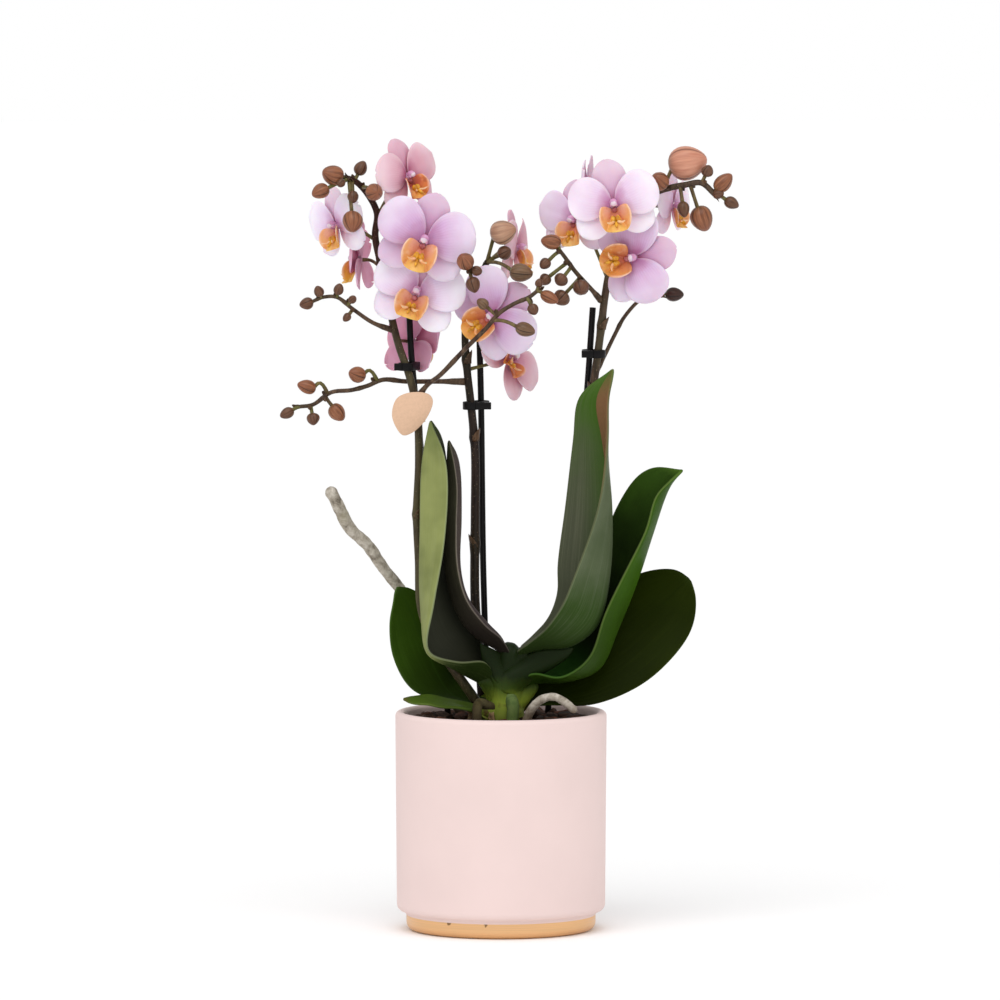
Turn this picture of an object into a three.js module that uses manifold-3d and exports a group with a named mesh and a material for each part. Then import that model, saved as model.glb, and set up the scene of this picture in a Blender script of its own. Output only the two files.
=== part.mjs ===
// A potted moth orchid: a pink ceramic pot with a gilt foot, a clear liner of bark, a crown with
// seven leaves, two loose roots, and three staked flower spikes with fourteen blooms and many buds.
// Millimetres, +Z up, the origin at the middle of the pot's underside, the front towards -Y.

import * as THREE from 'three';
import { mergeVertices } from 'three/addons/utils/BufferGeometryUtils.js';
import Module from 'manifold-3d';

// Clearances
const GAP = 0.3;
const LEAF_ROOM = 0.4;
const MERGE_DISTANCE = 1e-3;

// Ceramic pot
const POT_HEIGHT = 110;
const POT_RIM_RADIUS = 53;
const POT_TAPER = 0.7;
const POT_LOWER_RADIUS = POT_RIM_RADIUS - POT_TAPER;
const POT_WALL = 4.7;
const POT_FLOOR = 5;
const POT_CORNER = 3.5;
const FOOT_RADIUS = 47.5;
const FOOT_HEIGHT = 9.5;
const FOOT_ROUND = 4;
const POT_SIDES = 32;

// Clear plastic liner that the plant grows in
const LINER_TOP = 105;
const LINER_TOP_RADIUS = 46.3;
const LINER_BOTTOM_RADIUS = 37;
const LINER_WALL = 1;
const LINER_LIP = 0.9;
const LINER_LIP_HEIGHT = 3;
const LINER_SIDES = 24;

// Bark
const BARK_LEVEL = 100;
const BARK_TOP = 109;
const CHIP = { count: 15, seed: 71, size: [15, 9, 5.25], tilt: 0.45, lift: 2, edge: 4 };

// Leaves: each has a few flat steps across and along
const LEAF_THICKNESS = 1.5;
const LEAF_ACROSS = 4;
const LEAF_ALONG = 10;
const KEEL_ROUNDING = 0.1;

// Blooms, at scale 1
const PETAL = {
  root: 1.4, length: 25, width: 13, rise: 0.7, fall: 0.5,
  level: 1, arch: 1.8, curl: 1, across: 2, along: 4,
};
const SEPAL = {
  root: 1.4, length: 23.5, width: 9.6, rise: 0.8, fall: 0.6,
  level: -1, arch: 0.6, curl: 1.2, across: 1, along: 3,
};
const CLAW = 0.12;
const BLUNT_TIP = 0.97;
const SIDE_SEPAL_ANGLE = 126;
const PETAL_ANGLE = 68;
const BLADE_THICKNESS = 0.95;
const LIP = {
  root: [-3, 1.8], rootRadius: 1.4, mouthRadius: 8.2, wrap: 122,
  notch: 4.5, middle: 5.5, side: 3.5, flare: 0.12, droop: 4.2, upturn: 1.5,
};
const HUB_RADIUS = 2.6;
const HUB_BACK = 2.2;
const COLUMN = { at: [0, 0.8, 3.4], radii: [1.7, 2.1, 3.4] };

// Spikes, roots, stakes and clips
const CROWN_SIDES = 5;
const STEM_SIDES = 6;
const BRANCH_SIDES = 4;
const BRANCH_TAPER = 0.8;
const NODE_RADII = [3, 3, 2.2];
const PEDICEL_RADII = [0.85, 0.85];
const BUD_SIDES = 5;
const BUD_ROWS = 3;
const STAKE_RADIUS = 1.6;
const STAKE_SIDES = 7;
const STAKE_STEPS = 5;
const STAKE_FOOT = 60;
const CLIP_HEIGHT = 4;
const CLIP_ROOM = 1.6;
const CLIP_TAIL = 3.5;

// Tag: an egg-shaped card on a small open ring that hugs the left spike
const TAG_PLACE = [-44, -7, 260];
const TAG_THICKNESS = 0.8;
const TAG_OUTLINE = [
  [-10.5, 0], [-8, 7.5], [-1, 10.5], [8, 9.5], [10, 6], [6.5, -3], [0, -9.5], [-5, -11], [-9, -6],
];
const TAG_RING = { radius: 3.6, height: 5, mouth: 3, sides: 10, drop: 3 };

// Each leaf as stations from base to tip: a point on the keel, on the near edge and on the far edge
const LEAVES = {
  leaf_left_tall: [
    [[-3, -3, 120], [-5, -11, 132], [-1, 5, 132]],
    [[-11, -8, 125], [-9, -20, 137], [-7, 4, 139]],
    [[-24, -14, 133], [-22, -29, 137], [-13, 4, 150]],
    [[-36, -19, 143], [-36, -35, 143], [-19, 2, 164]],
    [[-40, -22, 168], [-33, -36, 166], [-25, 1, 182]],
    [[-40, -22, 202], [-28, -35, 199], [-26, -2, 208]],
    [[-39, -19, 236], [-27, -29, 235], [-28, -9, 243]],
    [[-35, -16, 257], [-34, -18, 256], [-33, -14, 257]],
  ],
  leaf_left_inner: [
    [[3, -1, 137], [5, -5, 139], [3, 4, 141]],
    [[-3, -5, 142], [0, -13, 148], [0, 4, 147]],
    [[-11, -9, 147], [-8, -19, 155], [-7, 3, 154]],
    [[-20, -12, 157], [-17, -22, 167], [-16, 1, 166]],
    [[-27, -14, 178], [-21, -22, 183], [-20, -2, 183]],
    [[-28, -15, 204], [-22, -21, 205], [-20, -3, 208]],
    [[-27, -15, 227], [-22, -20, 226], [-21, -6, 235]],
    [[-26, -14, 247], [-25, -16, 246], [-25, -13, 247]],
  ],
  leaf_left_broad: [
    [[-8, 4, 112], [-12, 1, 110], [-7, 9, 115]],
    [[-18, 6, 114], [-20, 0, 112], [-16, 12, 119]],
    [[-26, 7, 118], [-31, -1, 115], [-23, 14, 125]],
    [[-33, 8, 129], [-45, -1, 121], [-25, 15, 137]],
    [[-39, 9, 143], [-54, 0, 137], [-31, 15, 152]],
    [[-45, 8, 158], [-56, 1, 154], [-37, 13, 165]],
    [[-50, 6, 168], [-54, 3, 165], [-46, 9, 171]],
    [[-52, 5, 172], [-53, 4, 171], [-51, 6, 172]],
  ],
  leaf_left_small: [
    [[-9, -8, 111], [-10, -12, 110], [-8, -4, 112]],
    [[-23, -10, 114], [-23, -16, 113], [-23, -6, 116]],
    [[-33, -11, 116], [-33, -18, 114], [-35, -6, 118]],
    [[-41, -12, 117], [-42, -17, 115], [-43, -7, 118]],
    [[-49, -13, 117], [-48, -14, 116], [-48, -12, 117]],
  ],
  leaf_right_tall: [
    [[9, -4, 138], [8, -11, 141], [10, 4, 142]],
    [[20, -9, 142], [15, -20, 147], [16, 2, 148]],
    [[35, -14, 144], [23, -29, 155], [24, -4, 158]],
    [[48, -15, 154], [31, -34, 167], [28, -6, 170]],
    [[54, -15, 177], [36, -34, 180], [28, -8, 184]],
    [[55, -13, 214], [48, -32, 215], [32, -8, 214]],
    [[51, -9, 246], [53, -24, 247], [36, -6, 247]],
    [[48, -5, 267], [54, -14, 269], [39, -4, 268]],
    [[56, -2, 282], [57, -4, 282], [55, -1, 282]],
  ],
  leaf_right_trough: [
    [[10, 0, 120], [9, -7, 127], [9, 8, 126]],
    [[18, 0, 124], [17, -12, 130], [15, 8, 132]],
    [[32, -1, 125], [30, -20, 129], [23, 9, 137]],
    [[49, 0, 131], [44, -22, 139], [32, 10, 147]],
    [[58, 1, 150], [52, -20, 160], [39, 11, 161]],
    [[68, 2, 175], [63, -18, 183], [48, 12, 185]],
    [[76, 3, 200], [72, -14, 202], [57, 11, 210]],
    [[83, 4, 220], [77, -8, 218], [68, 9, 227]],
    [[87, 4, 227], [84, -3, 225], [77, 7, 232]],
    [[91, 3, 231], [90, 1, 230], [90, 5, 231]],
  ],
  leaf_right_round: [
    [[9, 5, 113], [10, 0, 112], [8, 9, 118]],
    [[21, 7, 118], [25, -1, 113], [15, 11, 126]],
    [[37, 9, 127], [46, 1, 113], [27, 14, 140]],
    [[55, 12, 140], [71, 3, 123], [43, 18, 157]],
    [[70, 15, 153], [88, 6, 138], [56, 22, 170]],
    [[83, 15, 164], [96, 9, 151], [71, 21, 178]],
    [[91, 14, 172], [98, 11, 164], [86, 17, 180]],
    [[95, 13, 175], [96, 12, 174], [94, 14, 177]],
  ],
};

// Routes of the spikes, their branches and stakes, from the crown to the tip
// A bud is its middle, its length and its width; one on a long stalk also says where that starts
const SPIKES = {
  left: {
    radii: [2.5, 1.5],
    route: [
      [-12, 2, 114], [-18, -2, 123], [-25, -4, 133], [-35, -5, 148], [-40, -5, 163],
      [-41, -4, 186], [-42, -3, 209], [-41, -3, 236], [-42, -3, 261], [-46, -2, 279],
      [-51, 0, 293], [-56, 4, 313], [-60, 8, 333], [-63, 9, 348], [-62, 8, 359],
      [-66, 5, 368], [-72, 2, 375], [-76, 0, 377],
    ],
    joints: [[-42, -3, 209], [-56, 4, 313], [-60, 8, 333]],
    branches: [
      {
        radius: 1.25,
        route: [
          [-42, -3, 267], [-37, -8, 274], [-30, -17, 280], [-17, -24, 294], [-7, -27, 304],
          [-1, -27, 311], [7, -26, 316], [14, -25, 319], [18, -24, 322],
        ],
      },
      {
        radius: 1.1,
        route: [
          [-54, 2, 301], [-64, -2, 305], [-74, -5, 312], [-82, -6, 318], [-89, -7, 318],
          [-94, -8, 316],
        ],
      },
    ],
    buds: [
      { at: [-84, -4, 379], size: [11, 10] },
      { at: [-90, -9, 371], size: [9.5, 7.5] },
      { at: [-70, 2, 382], size: [7.5, 6.5] },
      { at: [-63, -15, 371], size: [9, 8.5] },
      { at: [-80, -7, 375], size: [5, 4.5] },
      { at: [-74, -6, 368], size: [6.5, 5.5] },
      { at: [-74, -14, 356], size: [11, 10], from: [-76, 0, 377] },
      { at: [-97, -9, 315], size: [7, 6] },
      { at: [-77, -8, 308], size: [5, 4] },
      { at: [-74, -9, 317], size: [5, 4] },
      { at: [-81, -7, 322], size: [6, 5] },
      { at: [-91, -9, 321], size: [6, 5] },
      { at: [-9, -27, 316], size: [6.5, 5.5] },
      { at: [12, -29, 303], size: [10, 7], from: [-3, -27, 306] },
      { at: [16, -29, 313], size: [6, 5.5] },
      { at: [24, -27, 319], size: [10, 6] },
      { at: [19, -24, 326], size: [4.5, 4] },
    ],
  },
  mid: {
    radii: [2.6, 1.5],
    route: [
      [-9, 14, 112], [-11, 12, 139], [-13, 10, 165], [-13, 8, 205], [-13, 7, 240],
      [-15, 6, 263], [-17, 6, 281], [-18, 6, 298], [-17, 8, 312], [-13, 8, 323], [-7, 4, 335],
    ],
    joints: [[-13, 8, 191], [-13, 7, 246], [-17, 6, 285]],
    branches: [
      {
        radius: 1.25,
        route: [
          [-18, 6, 275], [-31, 8, 275], [-48, 8, 275], [-59, 6, 276], [-67, 4, 273],
          [-75, 2, 271], [-85, 0, 270], [-94, -2, 264], [-101, -3, 263],
        ],
      },
      { radius: 1.1, route: [[-14, 8, 321], [-15, 0, 334], [-16, -12, 338], [-16, -20, 333]] },
    ],
    buds: [
      { at: [-72, -1, 279], size: [9, 8], from: [-62, 5, 275] },
      { at: [-97, -4, 273], size: [9.5, 7], from: [-87, 0, 269] },
      { at: [-82, 0, 260], size: [9.5, 8] },
      { at: [-94, -4, 257], size: [6, 6.5] },
      { at: [-107, -5, 260], size: [7.5, 5.5] },
      { at: [1, -3, 350], size: [13, 12], from: [-8, 5, 335] },
      { at: [-18, -25, 337], size: [9, 8.5] },
      { at: [2, -3, 340], size: [7, 7] },
      { at: [10, -17, 331], size: [11.5, 9], from: [-7, 4, 336] },
      { at: [-14, -23, 325], size: [8, 7] },
      { at: [-12, -22, 332], size: [5.5, 5] },
    ],
  },
  right: {
    radii: [2.5, 1.4],
    route: [
      [9, 12, 118], [17, 20, 132], [26, 22, 143], [32, 21, 160], [36, 18, 184], [39, 14, 215],
      [43, 10, 250], [47, 6, 278], [50, 4, 301], [52, 2, 318], [55, 4, 333], [62, 8, 348],
      [70, 8, 361], [76, 4, 369], [83, 0, 372], [92, -3, 374], [100, -4, 375], [107, -4, 369],
    ],
    joints: [[46, 7, 271], [50, 3, 303]],
    branches: [
      {
        radius: 1.2,
        route: [[50, 2, 316], [45, -4, 322], [37, -8, 331], [32, -10, 338], [29, -11, 342]],
      },
      {
        radius: 1.1,
        route: [
          [47, 6, 279], [52, 11, 288], [57, 14, 298], [62, 17, 307], [71, 20, 316], [80, 20, 318],
        ],
      },
    ],
    buds: [
      { at: [25, -12, 346], size: [10, 7.5] },
      { at: [22, -13, 335], size: [6, 5.5] },
      { at: [22, -12, 327], size: [6, 6] },
      { at: [30, -15, 327], size: [6, 7] },
      { at: [30, -13, 318], size: [7.5, 8.5], from: [40, -7, 328] },
      { at: [40, -13, 323], size: [7, 8] },
      { at: [93, 2, 385], size: [19, 17], from: [81, 1, 372] },
      { at: [79, -5, 376], size: [9.5, 9.5] },
      { at: [103, -5, 381], size: [6, 6] },
      { at: [111, -4, 375], size: [11, 8] },
      { at: [115, -4, 365], size: [7.5, 6] },
      { at: [91, -6, 362], size: [8, 6] },
      { at: [100, -2, 357], size: [13, 11], from: [95, -3, 373] },
      { at: [87, 20, 318], size: [9, 7] },
    ],
  },
};

const STAKES = {
  left: [[-27, 20, 111], [-31, 18, 150], [-40, 4, 240], [-45, 5, 290], [-46, 8, 312]],
  mid: [[-7, 21, 111], [-9, 17, 184], [-10, 15, 263], [-11, 16, 303]],
  right: [[24, 30, 111], [31, 28, 155], [37, 22, 205], [43, 12, 268], [46, 9, 312]],
};

const CLIPS = {
  left: { height: 283, tail: -4 },
  mid: { height: 263, tail: 8 },
  right: { height: 289, tail: -6 },
};

// A bloom faces azimuth (0 is the front, positive towards +X) and elevation, and rolls clockwise
const BLOOMS = [
  { spike: 'left', at: [-47, 1, 378], facing: [42, 8], roll: -12, scale: 0.78, from: [-62, 8, 358] },
  { spike: 'left', at: [-38, -15, 347], facing: [-5, -4], roll: 18, scale: 1, from: [-61, 8, 338] },
  { spike: 'left', at: [-42, -6, 320], facing: [-5, 10], roll: 18, scale: 0.95, from: [-57, 5, 316] },
  { spike: 'left', at: [-44, 17, 294], facing: [130, -10], roll: 0, scale: 0.82, from: [-52, 1, 296] },
  { spike: 'left', at: [-82, 12, 353], facing: [-50, -5], roll: -12, scale: 0.8, from: [-63, 9, 345] },
  { spike: 'left', at: [-71, 29, 335], facing: [-102, 0], roll: 0, scale: 0.8, from: [-60, 8, 331] },
  { spike: 'mid', at: [-4, -7, 309], facing: [-25, -5], roll: 55, scale: 0.95, from: [-17, 8, 314] },
  { spike: 'mid', at: [7, 22, 341], facing: [75, 0], roll: 0, scale: 0.8, from: [-9, 6, 332] },
  { spike: 'mid', at: [4, 15, 286], facing: [52, 15], roll: 55, scale: 0.85, from: [-17, 6, 280] },
  { spike: 'right', at: [37, 9, 356], facing: [-32, -5], roll: 0, scale: 0.82, from: [53, 3, 327] },
  { spike: 'right', at: [56, -20, 365], facing: [0, 0], roll: -8, scale: 0.9, from: [63, 8, 350] },
  { spike: 'right', at: [66, -10, 338], facing: [-20, 0], roll: 78, scale: 0.95, from: [56, 4, 335] },
  { spike: 'right', at: [86, 21, 362], facing: [62, 0], roll: 0, scale: 0.7, from: [72, 7, 364] },
  { spike: 'right', at: [44, 26, 371], facing: [-100, 0], roll: -10, scale: 0.7, from: [59, 6, 342] },
];

const ROOTS = {
  root_aerial: {
    radii: [2.6, 3.2],
    route: [
      [-12, 18, 98], [-20, 22, 107], [-28, 26, 123], [-38, 26, 145], [-50, 24, 168],
      [-59, 20, 180], [-67, 16, 192], [-76, 13, 201], [-81, 10, 211], [-85, 9, 219],
    ],
  },
  root_front: {
    radii: [2.2, 2],
    route: [
      [10, -23, 97], [12, -27, 104], [14, -29, 111], [17, -30, 116], [21, -31, 119],
      [26, -32, 120], [31, -33, 118], [36, -34, 114],
    ],
  },
};

// Parts of the crown: its short trunk, leaf sheaths and the roots that grow down from it
const CROWN_TRUNK = { radii: [9, 6], route: [[1, 0, 92], [1, 0, 106], [2, 0, 120], [4, -1, 139]] };
const CROWN_PARTS = [
  { radii: [6, 4], route: [[0, 0, 112], [-4, -4, 121], [-8, -8, 126]] },
  { radii: [6, 4], route: [[2, 0, 108], [10, 0, 117], [15, 0, 122]] },
  { radii: [5, 3], route: [[0, 2, 106], [8, 5, 111], [13, 6, 114]] },
  { radii: [4, 3], route: [[1, -4, 108], [-7, -8, 110], [-12, -9, 111]] },
  { radii: [5, 4], route: [[4, 0, 122], [8, -3, 134], [11, -5, 139]] },
  { radii: [3.5, 2.6], route: [[4, -5, 118], [6, -11, 113], [5, -15, 103], [4, -17, 92]] },
  { radii: [2.6, 2.2], route: [[-4, -7, 112], [-11, -13, 115], [-12, -18, 110], [-11, -20, 98]] },
  { radii: [3, 2.6], route: [[0, 6, 108], [-8, 12, 112], [-9, 14, 118]] },
];

const wasm = await Module();
wasm.setup();

const vector = (point) => new THREE.Vector3(...point);
const curveThrough = (points) => new THREE.CatmullRomCurve3(points.map(vector));
const radians = THREE.MathUtils.degToRad;
const lerp = THREE.MathUtils.lerp;
const GOLDEN_ANGLE = Math.PI * (3 - Math.sqrt(5));

// The same seeded draw gives the same bark each time
function seededRandom(seed) {
  let state = seed;
  return () => {
    state = (state * 16807) % 2147483647;
    return state / 2147483647;
  };
}

// A closed geometry as a solid that can be joined and cut
function solid(geometry) {
  geometry.deleteAttribute('normal');
  geometry.deleteAttribute('uv');
  const merged = mergeVertices(geometry, MERGE_DISTANCE);
  return new wasm.Manifold(new wasm.Mesh({
    numProp: 3,
    vertProperties: new Float32Array(merged.attributes.position.array),
    triVerts: new Uint32Array(merged.index.array),
  }));
}

const joined = (solids) => solids.reduce((whole, piece) => whole.add(piece));
const cutBy = (body, cutters) => cutters.reduce((rest, cutter) => rest.subtract(cutter), body);

// The largest of the bodies that a cut leaves
function largestBody(body) {
  const bodies = body.decompose();
  return bodies.reduce((best, one) => (one.volume() > best.volume() ? one : best));
}

function geometryOf(body) {
  const mesh = body.getMesh();
  const geometry = new THREE.BufferGeometry();
  geometry.setAttribute('position', new THREE.BufferAttribute(mesh.vertProperties, 3));
  geometry.setIndex(new THREE.BufferAttribute(mesh.triVerts, 1));
  geometry.computeVertexNormals();
  return geometry;
}

const plant = new THREE.Group();

function addMesh(name, body, material) {
  const mesh = new THREE.Mesh(geometryOf(body), material.clone());
  mesh.name = name;
  plant.add(mesh);
  return mesh;
}

// Materials
const finish = (color, roughness, metalness = 0) => (
  new THREE.MeshStandardMaterial({ color, roughness, metalness })
);
const ceramicPink = finish(0xefd6d0, 0.75);
const clearPlastic = finish(0xdfe3e2, 0.2);
const barkBrown = finish(0x3a2418, 0.95);
const crownGreen = finish(0x6f8f35, 0.45);
const leafGreen = finish(0x2f4a22, 0.35);
const rootGrey = finish(0xb3aca0, 0.9);
const stemBrown = finish(0x4b3a30, 0.5);
const plasticBlack = finish(0x161314, 0.4);
const tagPeach = finish(0xf0c39c, 0.8);
const petalPink = finish(0xdfb2d2, 0.55);
const lipOrange = finish(0xf0a040, 0.5);

// A round stem along a route, bent from a straight cylinder
function stem(curve, radii, sides, steps, grow = 0) {
  const frames = curve.computeFrenetFrames(steps);
  const geometry = new THREE.CylinderGeometry(1, 1, steps, sides, steps);
  const position = geometry.attributes.position;
  const spot = new THREE.Vector3();
  for (let i = 0; i < position.count; i += 1) {
    spot.fromBufferAttribute(position, i);
    const row = Math.round(spot.y + steps / 2);
    const radius = lerp(radii[0], radii[1], row / steps) + grow;
    const centre = curve.getPointAt(row / steps);
    centre.addScaledVector(frames.normals[row], spot.x * radius);
    centre.addScaledVector(frames.binormals[row], -spot.z * radius);
    position.setXYZ(i, centre.x, centre.y, centre.z);
  }
  return solid(geometry);
}

// A blade round its middle surface point(u, v), u from -1 to 1 and v from 0 to 1
// Both faces are split into triangles alike
function blade(point, across, along, thickness, grow = 0) {
  const step = 1e-3;
  const depth = thickness / 2 + grow;
  const outward = (index, last) => grow * ((index === last) - (index === 0));
  const front = [];
  const back = [];
  for (let j = 0; j <= along; j += 1) {
    for (let i = 0; i <= across; i += 1) {
      const u = lerp(-1, 1, i / across);
      const v = j / along;
      const middle = point(u, v);
      const alongU = point(Math.min(u + step, 1), v).sub(point(Math.max(u - step, -1), v));
      const alongV = point(u, Math.min(v + step, 1)).sub(point(u, Math.max(v - step, 0)));
      const normal = alongU.clone().cross(alongV).normalize();
      middle.addScaledVector(alongU.normalize(), outward(i, across));
      middle.addScaledVector(alongV.normalize(), outward(j, along));
      front.push(middle.clone().addScaledVector(normal, depth));
      back.push(middle.clone().addScaledVector(normal, -depth));
    }
  }
  const half = front.length;
  const row = across + 1;
  const faces = [];
  for (let j = 0; j < along; j += 1) {
    for (let i = 0; i < across; i += 1) {
      const a = j * row + i;
      const b = a + 1;
      const c = b + row;
      const d = a + row;
      faces.push(a, b, c, a, c, d);
      faces.push(a + half, c + half, b + half, a + half, d + half, c + half);
    }
  }
  const rim = [];
  for (let i = 0; i < across; i += 1) rim.push(i);
  for (let j = 0; j < along; j += 1) rim.push(j * row + across);
  for (let i = across; i > 0; i -= 1) rim.push(along * row + i);
  for (let j = along; j > 0; j -= 1) rim.push(j * row);
  rim.forEach((p, k) => {
    const q = rim[(k + 1) % rim.length];
    faces.push(q, p, p + half, q, p + half, q + half);
  });
  const geometry = new THREE.BufferGeometry().setFromPoints([...front, ...back]);
  geometry.setIndex(faces);
  return solid(geometry);
}

function ball(centre, radii, sides, rows) {
  const geometry = new THREE.SphereGeometry(1, sides, rows);
  geometry.scale(...radii);
  geometry.translate(...centre);
  return solid(geometry);
}

// A turned shape about the upright axis, from [radius, height] points
function turned(outline, sides) {
  const geometry = new THREE.LatheGeometry(outline.map((p) => new THREE.Vector2(...p)), sides);
  geometry.rotateX(Math.PI / 2);
  return solid(geometry);
}

// A flat outline made thick along +Z
function slab(outline, depth, curveSegments) {
  return new THREE.ExtrudeGeometry(outline, { depth, bevelEnabled: false, curveSegments });
}

// Points of a quarter or half turn in a turned outline, angles in degrees
function arc(radius, height, size, from, to, steps) {
  return Array.from({ length: steps + 1 }, (_, i) => {
    const angle = radians(lerp(from, to, i / steps));
    return [radius + size * Math.cos(angle), height + size * Math.sin(angle)];
  });
}

// Pot
function pot() {
  const inner = POT_RIM_RADIUS - POT_WALL;
  const lip = POT_WALL / 2;
  return turned([
    [0, 0],
    ...arc(FOOT_RADIUS - FOOT_ROUND, FOOT_ROUND, FOOT_ROUND, -90, 0, 2),
    [FOOT_RADIUS, FOOT_HEIGHT],
    ...arc(POT_LOWER_RADIUS - POT_CORNER, FOOT_HEIGHT + POT_CORNER, POT_CORNER, -90, 0, 2),
    ...arc(inner + lip, POT_HEIGHT - lip, lip, 0, 180, 4),
    [inner - POT_TAPER, POT_FLOOR],
    [0, POT_FLOOR],
  ], POT_SIDES);
}

// Liner
const linerFloor = POT_FLOOR + GAP;

function linerRadius(height) {
  return lerp(LINER_BOTTOM_RADIUS, LINER_TOP_RADIUS, (height - linerFloor) / (LINER_TOP - linerFloor));
}

function liner() {
  const lipFoot = LINER_TOP - LINER_LIP_HEIGHT;
  return turned([
    [0, linerFloor],
    [LINER_BOTTOM_RADIUS, linerFloor],
    [linerRadius(lipFoot), lipFoot],
    [LINER_TOP_RADIUS + LINER_LIP, lipFoot],
    [LINER_TOP_RADIUS + LINER_LIP, LINER_TOP],
    [LINER_TOP_RADIUS - LINER_WALL, LINER_TOP],
    [LINER_BOTTOM_RADIUS - LINER_WALL, linerFloor + LINER_WALL],
    [0, linerFloor + LINER_WALL],
  ], LINER_SIDES);
}

// Leaves
function leafPoint(stations) {
  const [keel, near, far] = [0, 1, 2].map((k) => curveThrough(stations.map((station) => station[k])));
  return (u, v) => {
    const middle = keel.getPoint(v);
    const nearEdge = near.getPoint(v);
    const farEdge = far.getPoint(v);
    const reach = Math.abs(u);
    const fold = nearEdge.clone().add(farEdge).multiplyScalar(0.5).sub(middle);
    const edge = u < 0 ? nearEdge : farEdge;
    const swell = -KEEL_ROUNDING * 4 * reach * (1 - reach);
    return middle.lerp(edge, reach).addScaledVector(fold, swell);
  };
}

function leaf(stations, grow = 0) {
  return blade(leafPoint(stations), LEAF_ACROSS, LEAF_ALONG, LEAF_THICKNESS, grow);
}

// Spikes
const spikeCurves = {};
Object.entries(SPIKES).forEach(([side, spike]) => {
  spikeCurves[side] = [spike.route, ...spike.branches.map((branch) => branch.route)].map(curveThrough);
});

// A stem has one straight step for each stretch between its route's points
const stemSteps = (curve) => curve.points.length - 1;

// The point of a spike's main stem and branches that is nearest to a place
function nearestOnSpike(side, place) {
  const candidates = spikeCurves[side].flatMap((curve) => {
    const spots = curve.getSpacedPoints(stemSteps(curve));
    return spots.slice(1).map((spot, i) => (
      new THREE.Line3(spots[i], spot).closestPointToPoint(place, true, new THREE.Vector3())
    ));
  });
  return candidates.reduce((best, spot) => (
    spot.distanceTo(place) < best.distanceTo(place) ? spot : best
  ));
}

function bud(side, { at, size, from }) {
  const centre = vector(at);
  const foot = nearestOnSpike(side, from ? vector(from) : centre);
  const direction = centre.clone().sub(foot).normalize();
  const body = new THREE.SphereGeometry(1, BUD_SIDES, BUD_ROWS);
  body.scale(size[1] / 2, size[0] / 2, size[1] / 2);
  body.applyQuaternion(new THREE.Quaternion().setFromUnitVectors(new THREE.Vector3(0, 1, 0), direction));
  body.translate(...at);
  const stalk = stem(new THREE.LineCurve3(foot, centre), PEDICEL_RADII, BRANCH_SIDES, 1);
  return stalk.add(solid(body));
}

// Where a bloom's mesh stands: its own +Z looks along its facing, its +Y is up before the roll
function bloomTurn({ facing, roll }) {
  const turn = new THREE.Quaternion();
  const about = (x, y, z, angle) => (
    new THREE.Quaternion().setFromAxisAngle(new THREE.Vector3(x, y, z), radians(angle))
  );
  turn.multiply(about(0, 0, 1, facing[0]));
  turn.multiply(about(1, 0, 0, 90 - facing[1]));
  turn.multiply(about(0, 0, 1, -roll));
  return turn;
}

// The stalk that holds a bloom from behind
function bloomStalk(bloom) {
  const outward = new THREE.Vector3(0, 0, 1).applyQuaternion(bloomTurn(bloom));
  const centre = vector(bloom.at);
  const foot = nearestOnSpike(bloom.spike, vector(bloom.from));
  const behind = (distance) => centre.clone().addScaledVector(outward, -distance * bloom.scale);
  const end = centre.clone().addScaledVector(outward, -HUB_BACK * bloom.scale - GAP);
  const route = new THREE.CatmullRomCurve3([foot, foot.clone().lerp(behind(9), 0.6), behind(6), end]);
  return stem(route, PEDICEL_RADII, BRANCH_SIDES, route.points.length - 1);
}

function spike(side) {
  const { radii, branches, buds, joints } = SPIKES[side];
  const [mainCurve, ...branchCurves] = spikeCurves[side];
  const stalks = BLOOMS.filter((bloom) => bloom.spike === side).map(bloomStalk);
  return joined([
    stem(mainCurve, radii, STEM_SIDES, stemSteps(mainCurve)),
    ...branchCurves.map((curve, k) => {
      const { radius } = branches[k];
      return stem(curve, [radius, radius * BRANCH_TAPER], BRANCH_SIDES, stemSteps(curve));
    }),
    ...joints.map((place) => {
      const middle = nearestOnSpike(side, vector(place)).toArray();
      return ball(middle, NODE_RADII, BUD_SIDES, BUD_ROWS);
    }),
    ...buds.map((one) => bud(side, one)),
    ...stalks,
  ]);
}

// Stakes
function stakeCurve(side) {
  const [x, y] = STAKES[side][0];
  return curveThrough([[x, y, STAKE_FOOT], ...STAKES[side]]);
}

function stake(side, grow = 0) {
  return stem(stakeCurve(side), [STAKE_RADIUS, STAKE_RADIUS], STAKE_SIDES, STAKE_STEPS, grow);
}

// The point of a curve at a height
function pointAtHeight(curve, height) {
  const spots = curve.getPoints(400);
  return spots.reduce((best, spot) => (
    Math.abs(spot.z - height) < Math.abs(best.z - height) ? spot : best
  ));
}

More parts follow.
